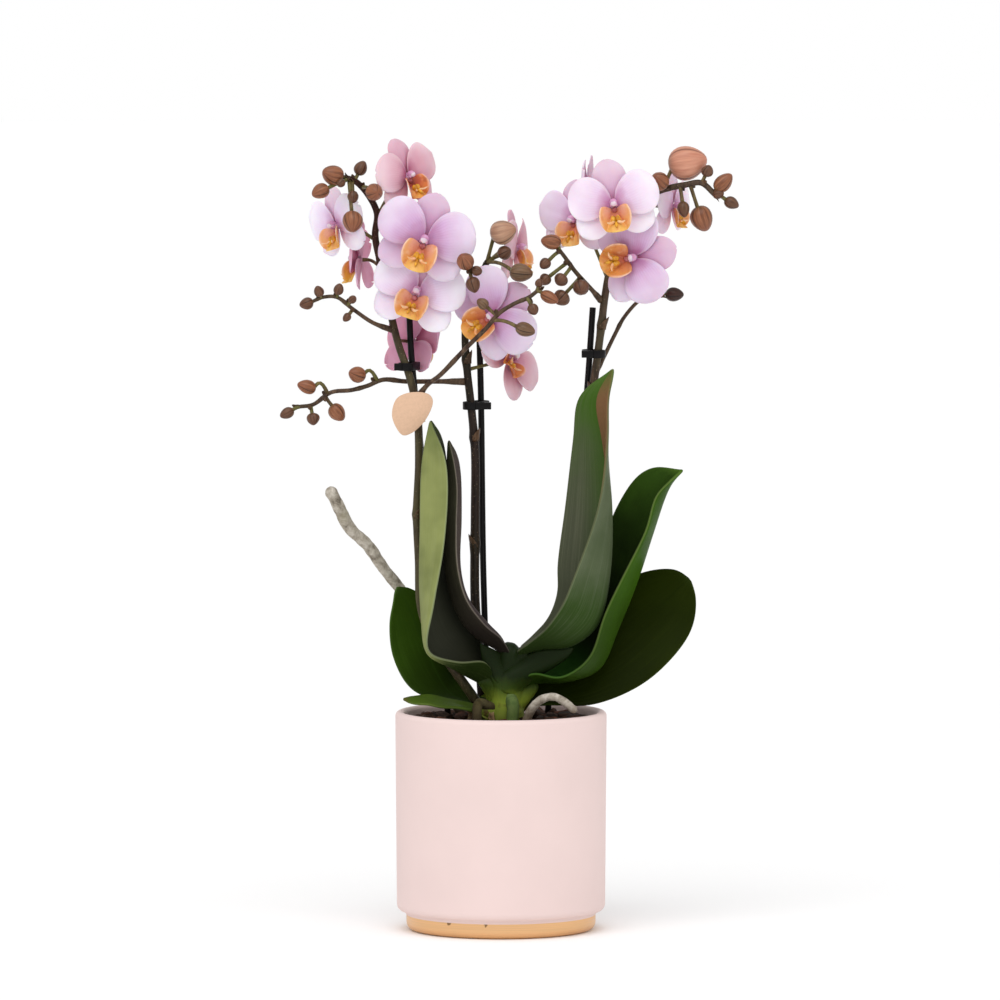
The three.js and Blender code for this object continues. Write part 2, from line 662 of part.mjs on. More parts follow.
// A clip is a flat loop round a spike and its stake, with a short tail
function clip(side, spikeRoom) {
  const { height, tail } = CLIPS[side];
  const onSpike = pointAtHeight(spikeCurves[side][0], height);
  const onStake = pointAtHeight(stakeCurve(side), height);
  const angle = Math.atan2(onStake.y - onSpike.y, onStake.x - onSpike.x);
  const length = Math.hypot(onStake.x - onSpike.x, onStake.y - onSpike.y);
  const end = SPIKES[side].radii[0] + CLIP_ROOM;
  const outline = new THREE.Shape();
  outline.absarc(0, 0, end, Math.PI / 2, -Math.PI / 2, false);
  outline.absarc(length, 0, end, -Math.PI / 2, Math.PI / 2, false);
  const loop = slab(outline, CLIP_HEIGHT, 3);
  loop.rotateZ(angle);
  loop.translate(onSpike.x, onSpike.y, height - CLIP_HEIGHT / 2);
  const tongue = new THREE.BoxGeometry(Math.abs(tail), CLIP_TAIL, CLIP_TAIL);
  tongue.translate(onSpike.x + tail / 2 + Math.sign(tail) * end / 2, onSpike.y - end / 2, height);
  return cutBy(solid(loop).add(solid(tongue)), [spikeRoom, stake(side, GAP)]);
}

// The tag's card stands upright, and its ring is open at the back
function tag(spikeRoom) {
  const outline = new THREE.Shape();
  const [first, ...rest] = TAG_OUTLINE.map((p) => new THREE.Vector2(...p));
  outline.moveTo(first.x, first.y);
  outline.splineThru([...rest, first]);
  const card = slab(outline, TAG_THICKNESS, 2);
  card.rotateX(Math.PI / 2);
  card.translate(...TAG_PLACE);
  const { radius, height, mouth, sides, drop } = TAG_RING;
  const middle = pointAtHeight(spikeCurves.left[0], TAG_PLACE[2] - drop);
  const ring = new THREE.CylinderGeometry(radius, radius, height, sides);
  ring.rotateX(Math.PI / 2);
  ring.translate(middle.x, middle.y, middle.z);
  const slot = new THREE.BoxGeometry(mouth, 2 * radius, 2 * height);
  slot.translate(middle.x, middle.y + radius, middle.z);
  return largestBody(cutBy(solid(card).add(solid(ring)), [spikeRoom, solid(slot)]));
}

// Half the width of a tepal or lip lobe along its length, with a narrow claw at the root
function lobeWidth({ width, rise, fall }, v) {
  const peak = rise / (rise + fall);
  const most = peak ** rise * (1 - peak) ** fall;
  const reach = Math.min(v, BLUNT_TIP);
  return width * (CLAW + (1 - CLAW) * (reach ** rise * (1 - reach) ** fall) / most);
}

// A petal or sepal that lies in the bloom's plane at an angle from its top
function tepal(shape, angle) {
  const { root, length, level, arch, curl, across, along } = shape;
  const turn = radians(angle);
  const point = (u, v) => {
    const out = root + length * v;
    const side = u * lobeWidth(shape, v);
    const height = level + arch * Math.sin(Math.PI * v) - curl * u * u * v;
    return new THREE.Vector3(
      out * Math.sin(turn) - side * Math.cos(turn),
      out * Math.cos(turn) + side * Math.sin(turn),
      height,
    );
  };
  return blade((u, v) => point(-u, v), across, along, BLADE_THICKNESS);
}

// The five tepals with the hub and the column
function bloomPetals() {
  return joined([
    ball([0, 0, 0], [HUB_RADIUS, HUB_RADIUS, HUB_BACK], 5, 4),
    ball(COLUMN.at, COLUMN.radii, 4, 3),
    tepal(PETAL, PETAL_ANGLE),
    tepal(PETAL, -PETAL_ANGLE),
    tepal(SEPAL, 0),
    tepal(SEPAL, SIDE_SEPAL_ANGLE),
    tepal(SEPAL, -SIDE_SEPAL_ANGLE),
  ]);
}

// The lip is one trough that juts forward under the column, its front edge cut into three lobes
function bloomLip() {
  return blade((u, v) => {
    const lobe = Math.abs(Math.cos(1.5 * Math.PI * u));
    const reach = LIP.notch + (Math.abs(u) < 1 / 3 ? LIP.middle : LIP.side) * lobe;
    const around = radians(LIP.wrap) * u;
    const radius = lerp(LIP.rootRadius, LIP.mouthRadius, v);
    const tip = LIP.upturn * v * v * lobe;
    return new THREE.Vector3(
      radius * Math.sin(around) * (1 + LIP.flare * v * Math.abs(u)),
      LIP.root[0] - radius * Math.cos(around) - LIP.droop * v + (Math.abs(u) < 1 / 3 ? tip : 0),
      LIP.root[1] + reach * v,
    );
  }, 6, 2, BLADE_THICKNESS);
}

// Crown: a short trunk with sheaths and roots, with a socket for each leaf
function crownBlank(grow = 0) {
  return joined([CROWN_TRUNK, ...CROWN_PARTS].map(({ radii, route }) => (
    stem(curveThrough(route), radii, CROWN_SIDES, route.length - 1, grow)
  )));
}

// Bark: a plug in the liner under loose chips, with holes for all that stands in it
function bark(cutters) {
  const random = seededRandom(CHIP.seed);
  const foot = linerFloor + LINER_WALL + GAP;
  const inside = (height) => linerRadius(height) - LINER_WALL - 2 * GAP;
  const filledTo = (height) => (
    turned([[0, foot], [inside(foot), foot], [inside(height), height], [0, height]], LINER_SIDES)
  );
  const chips = Array.from({ length: CHIP.count }, (_, i) => {
    const distance = (inside(BARK_LEVEL) - CHIP.edge) * Math.sqrt((i + 0.5) / CHIP.count);
    const around = i * GOLDEN_ANGLE;
    const chip = new THREE.BoxGeometry(...CHIP.size);
    chip.rotateX(lerp(-CHIP.tilt, CHIP.tilt, random()));
    chip.rotateY(lerp(-CHIP.tilt, CHIP.tilt, random()));
    chip.rotateZ(random() * Math.PI);
    chip.translate(distance * Math.cos(around), distance * Math.sin(around), BARK_LEVEL);
    chip.translate(0, 0, random() * CHIP.lift);
    return solid(chip);
  });
  const whole = joined([filledTo(BARK_LEVEL), ...chips]).intersect(filledTo(BARK_TOP));
  return largestBody(cutBy(whole, cutters));
}

// Leaves and roots
function rootBody({ radii, route }, grow = 0) {
  return stem(curveThrough(route), radii, STEM_SIDES, route.length + 2, grow);
}

Object.entries(LEAVES).forEach(([name, stations]) => addMesh(name, leaf(stations), leafGreen));
Object.entries(ROOTS).forEach(([name, root]) => addMesh(name, rootBody(root), rootGrey));

// Spikes with their stakes and clips, and the tag
const spikeRooms = {};
Object.keys(SPIKES).forEach((side) => {
  const mainCurve = spikeCurves[side][0];
  spikeRooms[side] = stem(mainCurve, SPIKES[side].radii, STEM_SIDES, stemSteps(mainCurve), GAP);
  addMesh(`spike_${side}`, spike(side), stemBrown);
  addMesh(`stake_${side}`, stake(side), plasticBlack);
  addMesh(`clip_${side}`, clip(side, spikeRooms[side]), plasticBlack);
});
addMesh('tag', tag(spikeRooms.left), tagPeach);

// Pot, liner, crown and bark
const leafRooms = Object.values(LEAVES).map((stations) => leaf(stations, LEAF_ROOM));
const rootRooms = Object.values(ROOTS).map((root) => rootBody(root, GAP));
const plantRooms = [...leafRooms, ...rootRooms, ...Object.values(spikeRooms)];
const stakeRooms = Object.keys(STAKES).map((side) => stake(side, GAP));
addMesh('pot', pot(), ceramicPink);
addMesh('grow_pot', liner(), clearPlastic);
addMesh('crown', largestBody(cutBy(crownBlank(), plantRooms)), crownGreen);
addMesh('bark', bark([crownBlank(GAP), ...plantRooms, ...stakeRooms]), barkBrown);

// Blooms: one shape of petals and one of lip, each placed, turned and scaled
const petals = bloomPetals();
const lip = bloomLip();
BLOOMS.forEach((bloom, k) => {
  const number = String(k + 1).padStart(2, '0');
  const pieces = [
    addMesh(`bloom_${number}_petals`, petals, petalPink),
    addMesh(`bloom_${number}_lip`, lip, lipOrange),
  ];
  pieces.forEach((piece) => {
    piece.position.set(...bloom.at);
    piece.quaternion.copy(bloomTurn(bloom));
    piece.scale.setScalar(bloom.scale);
  });
});

export default plant;
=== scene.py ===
# A potted moth orchid in bloom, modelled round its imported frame: a pink ceramic pot with a gilt
# foot, a clear liner of bark, a crown with seven leaves, two loose roots, and three staked spikes
# with fourteen blooms and their buds. The tables are in millimetres, with the front towards -Y.

import math
import random

import bmesh
import bpy
from mathutils import Matrix, Vector, noise


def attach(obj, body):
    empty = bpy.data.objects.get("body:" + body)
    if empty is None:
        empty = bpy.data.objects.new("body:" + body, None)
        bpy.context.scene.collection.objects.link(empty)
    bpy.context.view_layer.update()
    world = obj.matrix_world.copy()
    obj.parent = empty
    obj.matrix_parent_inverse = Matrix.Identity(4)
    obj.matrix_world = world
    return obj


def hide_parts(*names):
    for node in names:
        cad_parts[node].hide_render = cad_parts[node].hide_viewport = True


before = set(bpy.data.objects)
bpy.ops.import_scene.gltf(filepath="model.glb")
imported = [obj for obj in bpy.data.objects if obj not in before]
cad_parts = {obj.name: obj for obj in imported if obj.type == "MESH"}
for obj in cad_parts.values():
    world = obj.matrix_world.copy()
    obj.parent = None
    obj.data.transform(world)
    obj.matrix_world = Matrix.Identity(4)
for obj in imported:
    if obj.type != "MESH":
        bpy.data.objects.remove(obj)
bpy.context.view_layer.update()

bl_info = {
    "name": "Potted Moth Orchid",
    "version": (1, 0, 0),
    "blender": (4, 5, 0),
    "location": "View3D > Sidebar > Orchid",
    "description": "Builds a potted moth orchid round its packed frame",
    "category": "Add Mesh",
}

MM = 0.001
BODY = "root"
SHARP_TURN = math.radians(40)
# Seed of the noise in the bark chips and the roots, which would else differ from run to run
NOISE_SEED = 7

# Each leaf as stations from base to tip: a point on the keel, on the near and on the far edge
LEAVES = {
    "leaf_left_tall": (
        ((-3, -3, 120), (-5, -11, 132), (-1, 5, 132)),
        ((-11, -8, 125), (-9, -20, 137), (-7, 4, 139)),
        ((-24, -14, 133), (-22, -29, 137), (-13, 4, 150)),
        ((-36, -19, 143), (-36, -35, 143), (-19, 2, 164)),
        ((-40, -22, 168), (-33, -36, 166), (-25, 1, 182)),
        ((-40, -22, 202), (-28, -35, 199), (-26, -2, 208)),
        ((-39, -19, 236), (-27, -29, 235), (-28, -9, 243)),
        ((-35, -16, 257), (-34, -18, 256), (-33, -14, 257)),
    ),
    "leaf_left_inner": (
        ((3, -1, 137), (5, -5, 139), (3, 4, 141)),
        ((-3, -5, 142), (0, -13, 148), (0, 4, 147)),
        ((-11, -9, 147), (-8, -19, 155), (-7, 3, 154)),
        ((-20, -12, 157), (-17, -22, 167), (-16, 1, 166)),
        ((-27, -14, 178), (-21, -22, 183), (-20, -2, 183)),
        ((-28, -15, 204), (-22, -21, 205), (-20, -3, 208)),
        ((-27, -15, 227), (-22, -20, 226), (-21, -6, 235)),
        ((-26, -14, 247), (-25, -16, 246), (-25, -13, 247)),
    ),
    "leaf_left_broad": (
        ((-8, 4, 112), (-12, 1, 110), (-7, 9, 115)),
        ((-18, 6, 114), (-20, 0, 112), (-16, 12, 119)),
        ((-26, 7, 118), (-31, -1, 115), (-23, 14, 125)),
        ((-33, 8, 129), (-45, -1, 121), (-25, 15, 137)),
        ((-39, 9, 143), (-54, 0, 137), (-31, 15, 152)),
        ((-45, 8, 158), (-56, 1, 154), (-37, 13, 165)),
        ((-50, 6, 168), (-54, 3, 165), (-46, 9, 171)),
        ((-52, 5, 172), (-53, 4, 171), (-51, 6, 172)),
    ),
    "leaf_left_small": (
        ((-9, -8, 111), (-10, -12, 110), (-8, -4, 112)),
        ((-23, -10, 114), (-23, -16, 113), (-23, -6, 116)),
        ((-33, -11, 116), (-33, -18, 114), (-35, -6, 118)),
        ((-41, -12, 117), (-42, -17, 115), (-43, -7, 118)),
        ((-49, -13, 117), (-48, -14, 116), (-48, -12, 117)),
    ),
    "leaf_right_tall": (
        ((9, -4, 138), (8, -11, 141), (10, 4, 142)),
        ((20, -9, 142), (15, -20, 147), (16, 2, 148)),
        ((35, -14, 144), (23, -29, 155), (24, -4, 158)),
        ((48, -15, 154), (31, -34, 167), (28, -6, 170)),
        ((54, -15, 177), (36, -34, 180), (28, -8, 184)),
        ((55, -13, 214), (48, -32, 215), (32, -8, 214)),
        ((51, -9, 246), (53, -24, 247), (36, -6, 247)),
        ((48, -5, 267), (54, -14, 269), (39, -4, 268)),
        ((56, -2, 282), (57, -4, 282), (55, -1, 282)),
    ),
    "leaf_right_trough": (
        ((10, 0, 120), (9, -7, 127), (9, 8, 126)),
        ((18, 0, 124), (17, -12, 130), (15, 8, 132)),
        ((32, -1, 125), (30, -20, 129), (23, 9, 137)),
        ((49, 0, 131), (44, -22, 139), (32, 10, 147)),
        ((58, 1, 150), (52, -20, 160), (39, 11, 161)),
        ((68, 2, 175), (63, -18, 183), (48, 12, 185)),
        ((76, 3, 200), (72, -14, 202), (57, 11, 210)),
        ((83, 4, 220), (77, -8, 218), (68, 9, 227)),
        ((87, 4, 227), (84, -3, 225), (77, 7, 232)),
        ((91, 3, 231), (90, 1, 230), (90, 5, 231)),
    ),
    "leaf_right_round": (
        ((9, 5, 113), (10, 0, 112), (8, 9, 118)),
        ((21, 7, 118), (25, -1, 113), (15, 11, 126)),
        ((37, 9, 127), (46, 1, 113), (27, 14, 140)),
        ((55, 12, 140), (71, 3, 123), (43, 18, 157)),
        ((70, 15, 153), (88, 6, 138), (56, 22, 170)),
        ((83, 15, 164), (96, 9, 151), (71, 21, 178)),
        ((91, 14, 172), (98, 11, 164), (86, 17, 180)),
        ((95, 13, 175), (96, 12, 174), (94, 14, 177)),
    ),
}

# Routes of the spikes and their branches from the crown to the tip, with the places of stem nodes
# A bud is its middle, its length and its width, and then where its stalk starts if that is far
SPIKES = {
    "left": {
        "radii": (2.5, 1.5),
        "route": (
            (-12, 2, 114), (-18, -2, 123), (-25, -4, 133), (-35, -5, 148), (-40, -5, 163),
            (-41, -4, 186), (-42, -3, 209), (-41, -3, 236), (-42, -3, 261), (-46, -2, 279),
            (-51, 0, 293), (-56, 4, 313), (-60, 8, 333), (-63, 9, 348), (-62, 8, 359),
            (-66, 5, 368), (-72, 2, 375), (-76, 0, 377),
        ),
        "joints": ((-42, -3, 209), (-56, 4, 313), (-60, 8, 333)),
        "branches": (
            (1.25, (
                (-42, -3, 267), (-37, -8, 274), (-30, -17, 280), (-17, -24, 294), (-7, -27, 304),
                (-1, -27, 311), (7, -26, 316), (14, -25, 319), (18, -24, 322),
            )),
            (1.1, (
                (-54, 2, 301), (-64, -2, 305), (-74, -5, 312), (-82, -6, 318), (-89, -7, 318),
                (-94, -8, 316),
            )),
        ),
        "buds": (
            ((-84, -4, 379), (11, 10)),
            ((-90, -9, 371), (9.5, 7.5)),
            ((-70, 2, 382), (7.5, 6.5)),
            ((-63, -15, 371), (9, 8.5)),
            ((-80, -7, 375), (5, 4.5)),
            ((-74, -6, 368), (6.5, 5.5)),
            ((-74, -14, 356), (11, 10), (-76, 0, 377)),
            ((-97, -9, 315), (7, 6)),
            ((-77, -8, 308), (5, 4)),
            ((-74, -9, 317), (5, 4)),
            ((-81, -7, 322), (6, 5)),
            ((-91, -9, 321), (6, 5)),
            ((-9, -27, 316), (6.5, 5.5)),
            ((12, -29, 303), (10, 7), (-3, -27, 306)),
            ((16, -29, 313), (6, 5.5)),
            ((24, -27, 319), (10, 6)),
            ((19, -24, 326), (4.5, 4)),
        ),
    },
    "mid": {
        "radii": (2.6, 1.5),
        "route": (
            (-9, 14, 112), (-11, 12, 139), (-13, 10, 165), (-13, 8, 205), (-13, 7, 240),
            (-15, 6, 263), (-17, 6, 281), (-18, 6, 298), (-17, 8, 312), (-13, 8, 323), (-7, 4, 335),
        ),
        "joints": ((-13, 8, 191), (-13, 7, 246), (-17, 6, 285)),
        "branches": (
            (1.25, (
                (-18, 6, 275), (-31, 8, 275), (-48, 8, 275), (-59, 6, 276), (-67, 4, 273),
                (-75, 2, 271), (-85, 0, 270), (-94, -2, 264), (-101, -3, 263),
            )),
            (1.1, (
                (-14, 8, 321), (-15, 0, 334), (-16, -12, 338), (-16, -20, 333),
            )),
        ),
        "buds": (
            ((-72, -1, 279), (9, 8), (-62, 5, 275)),
            ((-97, -4, 273), (9.5, 7), (-87, 0, 269)),
            ((-82, 0, 260), (9.5, 8)),
            ((-94, -4, 257), (6, 6.5)),
            ((-107, -5, 260), (7.5, 5.5)),
            ((1, -3, 350), (13, 12), (-8, 5, 335)),
            ((-18, -25, 337), (9, 8.5)),
            ((2, -3, 340), (7, 7)),
            ((10, -17, 331), (11.5, 9), (-7, 4, 336)),
            ((-14, -23, 325), (8, 7)),
            ((-12, -22, 332), (5.5, 5)),
        ),
    },
    "right": {
        "radii": (2.5, 1.4),
        "route": (
            (9, 12, 118), (17, 20, 132), (26, 22, 143), (32, 21, 160), (36, 18, 184), (39, 14, 215),
            (43, 10, 250), (47, 6, 278), (50, 4, 301), (52, 2, 318), (55, 4, 333), (62, 8, 348),
            (70, 8, 361), (76, 4, 369), (83, 0, 372), (92, -3, 374), (100, -4, 375), (107, -4, 369),
        ),
        "joints": ((46, 7, 271), (50, 3, 303)),
        "branches": (
            (1.2, (
                (50, 2, 316), (45, -4, 322), (37, -8, 331), (32, -10, 338), (29, -11, 342),
            )),
            (1.1, (
                (47, 6, 279), (52, 11, 288), (57, 14, 298), (62, 17, 307), (71, 20, 316),
                (80, 20, 318),
            )),
        ),
        "buds": (
            ((25, -12, 346), (10, 7.5)),
            ((22, -13, 335), (6, 5.5)),
            ((22, -12, 327), (6, 6)),
            ((30, -15, 327), (6, 7)),
            ((30, -13, 318), (7.5, 8.5), (40, -7, 328)),
            ((40, -13, 323), (7, 8)),
            ((93, 2, 385), (19, 17), (81, 1, 372)),
            ((79, -5, 376), (9.5, 9.5)),
            ((103, -5, 381), (6, 6)),
            ((111, -4, 375), (11, 8)),
            ((115, -4, 365), (7.5, 6)),
            ((91, -6, 362), (8, 6)),
            ((100, -2, 357), (13, 11), (95, -3, 373)),
            ((87, 20, 318), (9, 7)),
        ),
    },
}

STAKES = {
    "left": ((-27, 20, 111), (-31, 18, 150), (-40, 4, 240), (-45, 5, 290), (-46, 8, 312)),
    "mid": ((-7, 21, 111), (-9, 17, 184), (-10, 15, 263), (-11, 16, 303)),
    "right": ((24, 30, 111), (31, 28, 155), (37, 22, 205), (43, 12, 268), (46, 9, 312)),
}

# Height of each clip and the reach of its tail
CLIPS = {"left": (283, -4), "mid": (263, 8), "right": (289, -6)}

# A bloom: its spike, its middle, its azimuth, elevation and clockwise roll, its size, its tone,
# and where its stalk starts
BLOOMS = (
    ("left", (-47, 1, 378), (42, 8, -12), 0.78, "warm", (-62, 8, 358)),
    ("left", (-38, -15, 347), (-5, -4, 18), 1, "pale", (-61, 8, 338)),
    ("left", (-42, -6, 320), (-5, 10, 18), 0.95, "white", (-57, 5, 316)),
    ("left", (-44, 17, 294), (130, -10, 0), 0.82, "deep", (-52, 1, 296)),
    ("left", (-82, 12, 353), (-50, -5, -12), 0.8, "white", (-63, 9, 345)),
    ("left", (-71, 29, 335), (-102, 0, 0), 0.8, "deep", (-60, 8, 331)),
    ("mid", (-4, -7, 309), (-25, -5, 55), 0.95, "pale", (-17, 8, 314)),
    ("mid", (7, 22, 341), (75, 0, 0), 0.8, "warm", (-9, 6, 332)),
    ("mid", (4, 15, 286), (52, 15, 55), 0.85, "warm", (-17, 6, 280)),
    ("right", (37, 9, 356), (-32, -5, 0), 0.82, "white", (53, 3, 327)),
    ("right", (56, -20, 365), (0, 0, -8), 0.9, "light", (63, 8, 350)),
    ("right", (66, -10, 338), (-20, 0, 78), 0.95, "pale", (56, 4, 335)),
    ("right", (86, 21, 362), (62, 0, 0), 0.7, "light", (72, 7, 364)),
    ("right", (44, 26, 371), (-100, 0, -10), 0.7, "light", (59, 6, 342)),
)

ROOTS = {
    "root_aerial": ((2.6, 3.2), (
        (-12, 18, 98), (-20, 22, 107), (-28, 26, 123), (-38, 26, 145), (-50, 24, 168),
        (-59, 20, 180), (-67, 16, 192), (-76, 13, 201), (-81, 10, 211), (-85, 9, 219),
    )),
    "root_front": ((2.2, 2), (
        (10, -23, 97), (12, -27, 104), (14, -29, 111), (17, -30, 116), (21, -31, 119),
        (26, -32, 120), (31, -33, 118), (36, -34, 114),
    )),
}

CROWN_TRUNK = ((9, 6), ((1, 0, 92), (1, 0, 106), (2, 0, 120), (4, -1, 139)))
CROWN_PARTS = (
    ((6, 4), ((0, 0, 112), (-4, -4, 121), (-8, -8, 126))),
    ((6, 4), ((2, 0, 108), (10, 0, 117), (15, 0, 122))),
    ((5, 3), ((0, 2, 106), (8, 5, 111), (13, 6, 114))),
    ((4, 3), ((1, -4, 108), (-7, -8, 110), (-12, -9, 111))),
    ((5, 4), ((4, 0, 122), (8, -3, 134), (11, -5, 139))),
    ((3.5, 2.6), ((4, -5, 118), (6, -11, 113), (5, -15, 103), (4, -17, 92))),
    ((2.6, 2.2), ((-4, -7, 112), (-11, -13, 115), (-12, -18, 110), (-11, -20, 98))),
    ((3, 2.6), ((0, 6, 108), (-8, 12, 112), (-9, 14, 118))),
)

# Pot, liner and bark
POT_HEIGHT = 110
POT_RIM_RADIUS = 53
POT_LOWER_RADIUS = 52.3
POT_WALL = 4.7
POT_FLOOR = 5
POT_CORNER = 3.5
FOOT_RADIUS = 47.5
FOOT_HEIGHT = 9.5
FOOT_ROUND = 4
FOOT_RECESS = (36, 1.2)
LINER_FLOOR = 5.3
LINER_TOP = 105
LINER_TOP_RADIUS = 46.3
LINER_BOTTOM_RADIUS = 37
LINER_WALL = 1
LINER_LIP = 0.9
LINER_LIP_HEIGHT = 3
BARK_LEVEL = 100
BARK_TOP = 109
BARK_GAP = 0.6
CHIP_ROOM = 3
CHIP_LUMP = 1.3
CROWN_VOXEL = 0.75

# Clips and the tag's card and ring
CLIP_HEIGHT = 4
CLIP_ROOM = 1.6
CLIP_WALL = 1.1
CLIP_TAIL = 3.5
TAG_PLACE = (-44, -7, 260)
TAG_THICKNESS = 0.8
TAG_OUTLINE = (
    (-10.5, 0), (-8, 7.5), (-1, 10.5), (8, 9.5), (10, 6), (6.5, -3), (0, -9.5), (-5, -11), (-9, -6),
)
TAG_RING_RADIUS = 3.4
TAG_RING_WALL = 0.8
TAG_RING_HEIGHT = 4.4
TAG_RING_DROP = 3
TAG_RING_MOUTH = 50

# Leaves
LEAF_THICKNESS = 1.5
KEEL_ROUNDING = 0.1
KEEL_STEP = 0.02
CREASE_ROUNDING = 0.09
LEAF_TIP = 0.93

# Blooms at scale 1: how the petals, the sepals and the lip spread from the middle
PETAL = {"root": 1.4, "length": 25, "width": 13, "rise": 0.7, "fall": 0.5,
         "level": 1, "arch": 1.8, "curl": 1}
SEPAL = {"root": 1.4, "length": 23.5, "width": 9.6, "rise": 0.8, "fall": 0.6,
         "level": -1, "arch": 0.6, "curl": 1.2}
CLAW = 0.12
TEPAL_ANGLES = (("petal", 68), ("petal", -68), ("sepal", 0), ("sepal", 126), ("sepal", -126))
LIP_ROOT = (-3, 1.8)
LIP_RADII = (1.4, 8.8)
LIP_WRAP = 122
LIP_REACH = {"notch": 4.5, "middle": 5.5, "side": 3.5}
LIP_FLARE = 0.12
LIP_DROOP = 4.7
LIP_UPTURN = 1.5
HUB_RADIUS = 2.6
HUB_BACK = 2.2

# Stems
PEDICEL_RADIUS = 0.85
MOST_SHARED = 0.95
STAKE_RADIUS = 1.6
STAKE_FOOT = 60
ROOT_LUMP = 0.22
BRANCH_TAPER = 0.8
BROWN_FROM = (0.292, 0.318)

# Buds that differ from the rest, by their middle: colour, and the way the tip points if not outwards
BUD_TONES = {
    (93, 2, 385): "salmon", (1, -3, 350): "tan", (10, -17, 331): "olive", (12, -29, 303): "olive",
    (87, 20, 318): "dark", (-9, -27, 316): "olive",
}
BUD_HEADINGS = {
    (93, 2, 385): (1, 0, 0.12), (1, -3, 350): (1, -0.2, 0.25), (10, -17, 331): (1, 0, -0.1),
    (25, -12, 346): (-1, 0, 0.15),
}
# How far some stalks arch up, as a share of their length
BUD_BOWS = {(-72, -1, 279): 0.35, (-97, -4, 273): 0.35}
# Small buds at the ends of spikes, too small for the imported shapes
TIP_BUDS = {"right": (((108.5, -5, 369.5), (6, 5)),)}
BUD_COLOURS = {
    "young": ("42281B", "74503A", "5E3A2A"), "bronze": ("58301E", "A06848", "86503A"),
    "salmon": ("B06E56", "D49A80", "C07A62"), "tan": ("98705A", "C29A7E", "AA7A60"),
    "olive": ("4A3420", "80634A", "6E4A36"), "dark": ("241410", "44281E", "38201A"),
}
BRONZE_LENGTH = 8.5

# Sheaths of the crown, outermost first: the leaf that each runs into, the height of its foot,
# its radius there, how far round the trunk it reaches to each side in degrees, and the station of
# the leaf up to which it runs under the keel as a web, or 0 where it ends at the leaf's base
SHEATHS = (
    ("leaf_left_small", 99, 10.6, 70, 0), ("leaf_right_round", 100, 11, 105, 0),
    ("leaf_left_broad", 101, 10.8, 110, 0), ("leaf_left_tall", 105, 10.2, 125, 0),
    ("leaf_right_trough", 106, 9.8, 120, 0), ("leaf_left_inner", 118, 8.6, 110, 1.9),
    ("leaf_right_tall", 118, 8.8, 110, 2.1),
)
SHEATH_THICKNESS = 1.1
# How far a sheath runs on into its leaf, and how much its hem rises towards its sides, as a share
# of the height from its foot to the leaf
SHEATH_TUCK = 1.5
SHEATH_HEM = 0.3
# How far below its leaf a web runs, and its width as a share of the leaf's
SHEATH_DROP = 1.3
SHEATH_SHARE = 0.22
TRUNK_AXIS = (1, -0.5)
CROWN_ROOTS = slice(5, 7)

# Dry husks at the crown's foot: place, half width, height and heading
HUSKS = (
    (-9, -7, 104, 4.5, 9, -30), (-14, -4, 103, 4, 8, -55), (-5, -10, 103, 3.5, 7, 10),
    (12, -7, 103, 3.5, 6, 30),
)

# Places in millimetres where the gilt has come off, with their radius
GILT_CHIPS = (((-26, -39.8, 7.5), 1.3), ((-7.5, -46.9, 7.4), 1.2))

# Each leaf's two faces: colours low down and high up, of the streaks, the margin, the tip and the keel
LEAF_COLOURS = {
    "leaf_left_tall": (("34352B", "383A2E", "42443A", "8A946A", "35421C", "34362A"),
                       ("2C3A1A", "8C9359", "9AA070", "9AA26E", "5A663A", "66744A")),
    # leaf_left_inner's grey-purple upper face is painted sheen over a dark leaf: its low, high, streak and
    # margin colours hold the grey reflection of a glossy surface
    "leaf_left_inner": (("4C4242", "524944", "6C625C", "7C7468", "3C3C2C", "3C3830"),
                        ("2C2622", "3A3A2C", "4E4C3A", "625C4A", "2E3420", "34341F")),
    "leaf_left_broad": (("26380C", "2F480F", "3B561A", "4C6430", "3A5220", "2C4512"),
                        ("384E18", "435F20", "506C2A", "5F763C", "46602A", "40582A")),
    "leaf_left_small": (("455A1C", "4E661F", "5E752D", "6C8040", "5C5228", "4A6424"),
                        ("4A6022", "556E28", "687E38", "738746", "5C5228", "506A30")),
    # leaf_right_tall's greys are painted sheen over a dark green leaf: the low, streak and margin colours of
    # its upper face and the high, streak and margin colours of its under face hold the grey reflection of a
    # glossy surface
    "leaf_right_tall": (("4E5240", "3E5C20", "6A6C58", "5C6244", "527030", "3A581A"),
                        ("344A1E", "5C664C", "727A64", "6E785A", "5C6642", "4E5C42")),
    # leaf_right_trough's near black low, streak and keel colours on its upper face are painted shade: the
    # shadow that leaf_right_tall casts into the trough, between a green foot and a green top
    "leaf_right_trough": (("121C0A", "345016", "22300F", "5C7036", "4E6C24", "16220C"),
                          ("2A400E", "375A0E", "3F6216", "526C30", "44621E", "2A4612")),
    "leaf_right_round": (("172000", "1E2802", "28320A", "3E4C1E", "28340E", "1A2402"),
                         ("2C3A0E", "364416", "404E20", "52602E", "38461C", "2E3A12")),
}
# Where along a leaf its low colour turns to the high one, and how wide its keel's colour is, from 0
# to 0.5, with those that differ
LEAF_BANDS = (0.3, 0.66, 0.06)
OTHER_BANDS = {
    "leaf_left_tall under": (0.3, 0.5, 0.06),
    # leaf_right_tall's under face turns to its painted sheen higher up, and its upper face turns from painted
    # sheen to green towards the tip
    "leaf_right_tall upper": (0.58, 0.86, 0.42), "leaf_right_tall under": (0.36, 0.6, 0.06),
    # leaf_right_trough's upper face turns here from its painted shade to its own green
    "leaf_right_trough upper": (0.5, 0.82, 0.06),
}
# The colour of the near half of a leaf's upper face towards its tip, where it differs: painted shade, brown
# where that half lies in shadow
LEAF_FLAP_SHADES = {"leaf_right_tall upper": "7C5C40"}

# The colour of a leaf's foot, where it differs from its low colour
LEAF_FEET = {"leaf_left_tall under": "22300F", "leaf_right_tall under": "2A3A18",
             "leaf_right_trough upper": "305C1C", "leaf_left_tall upper": "2C2E22"}

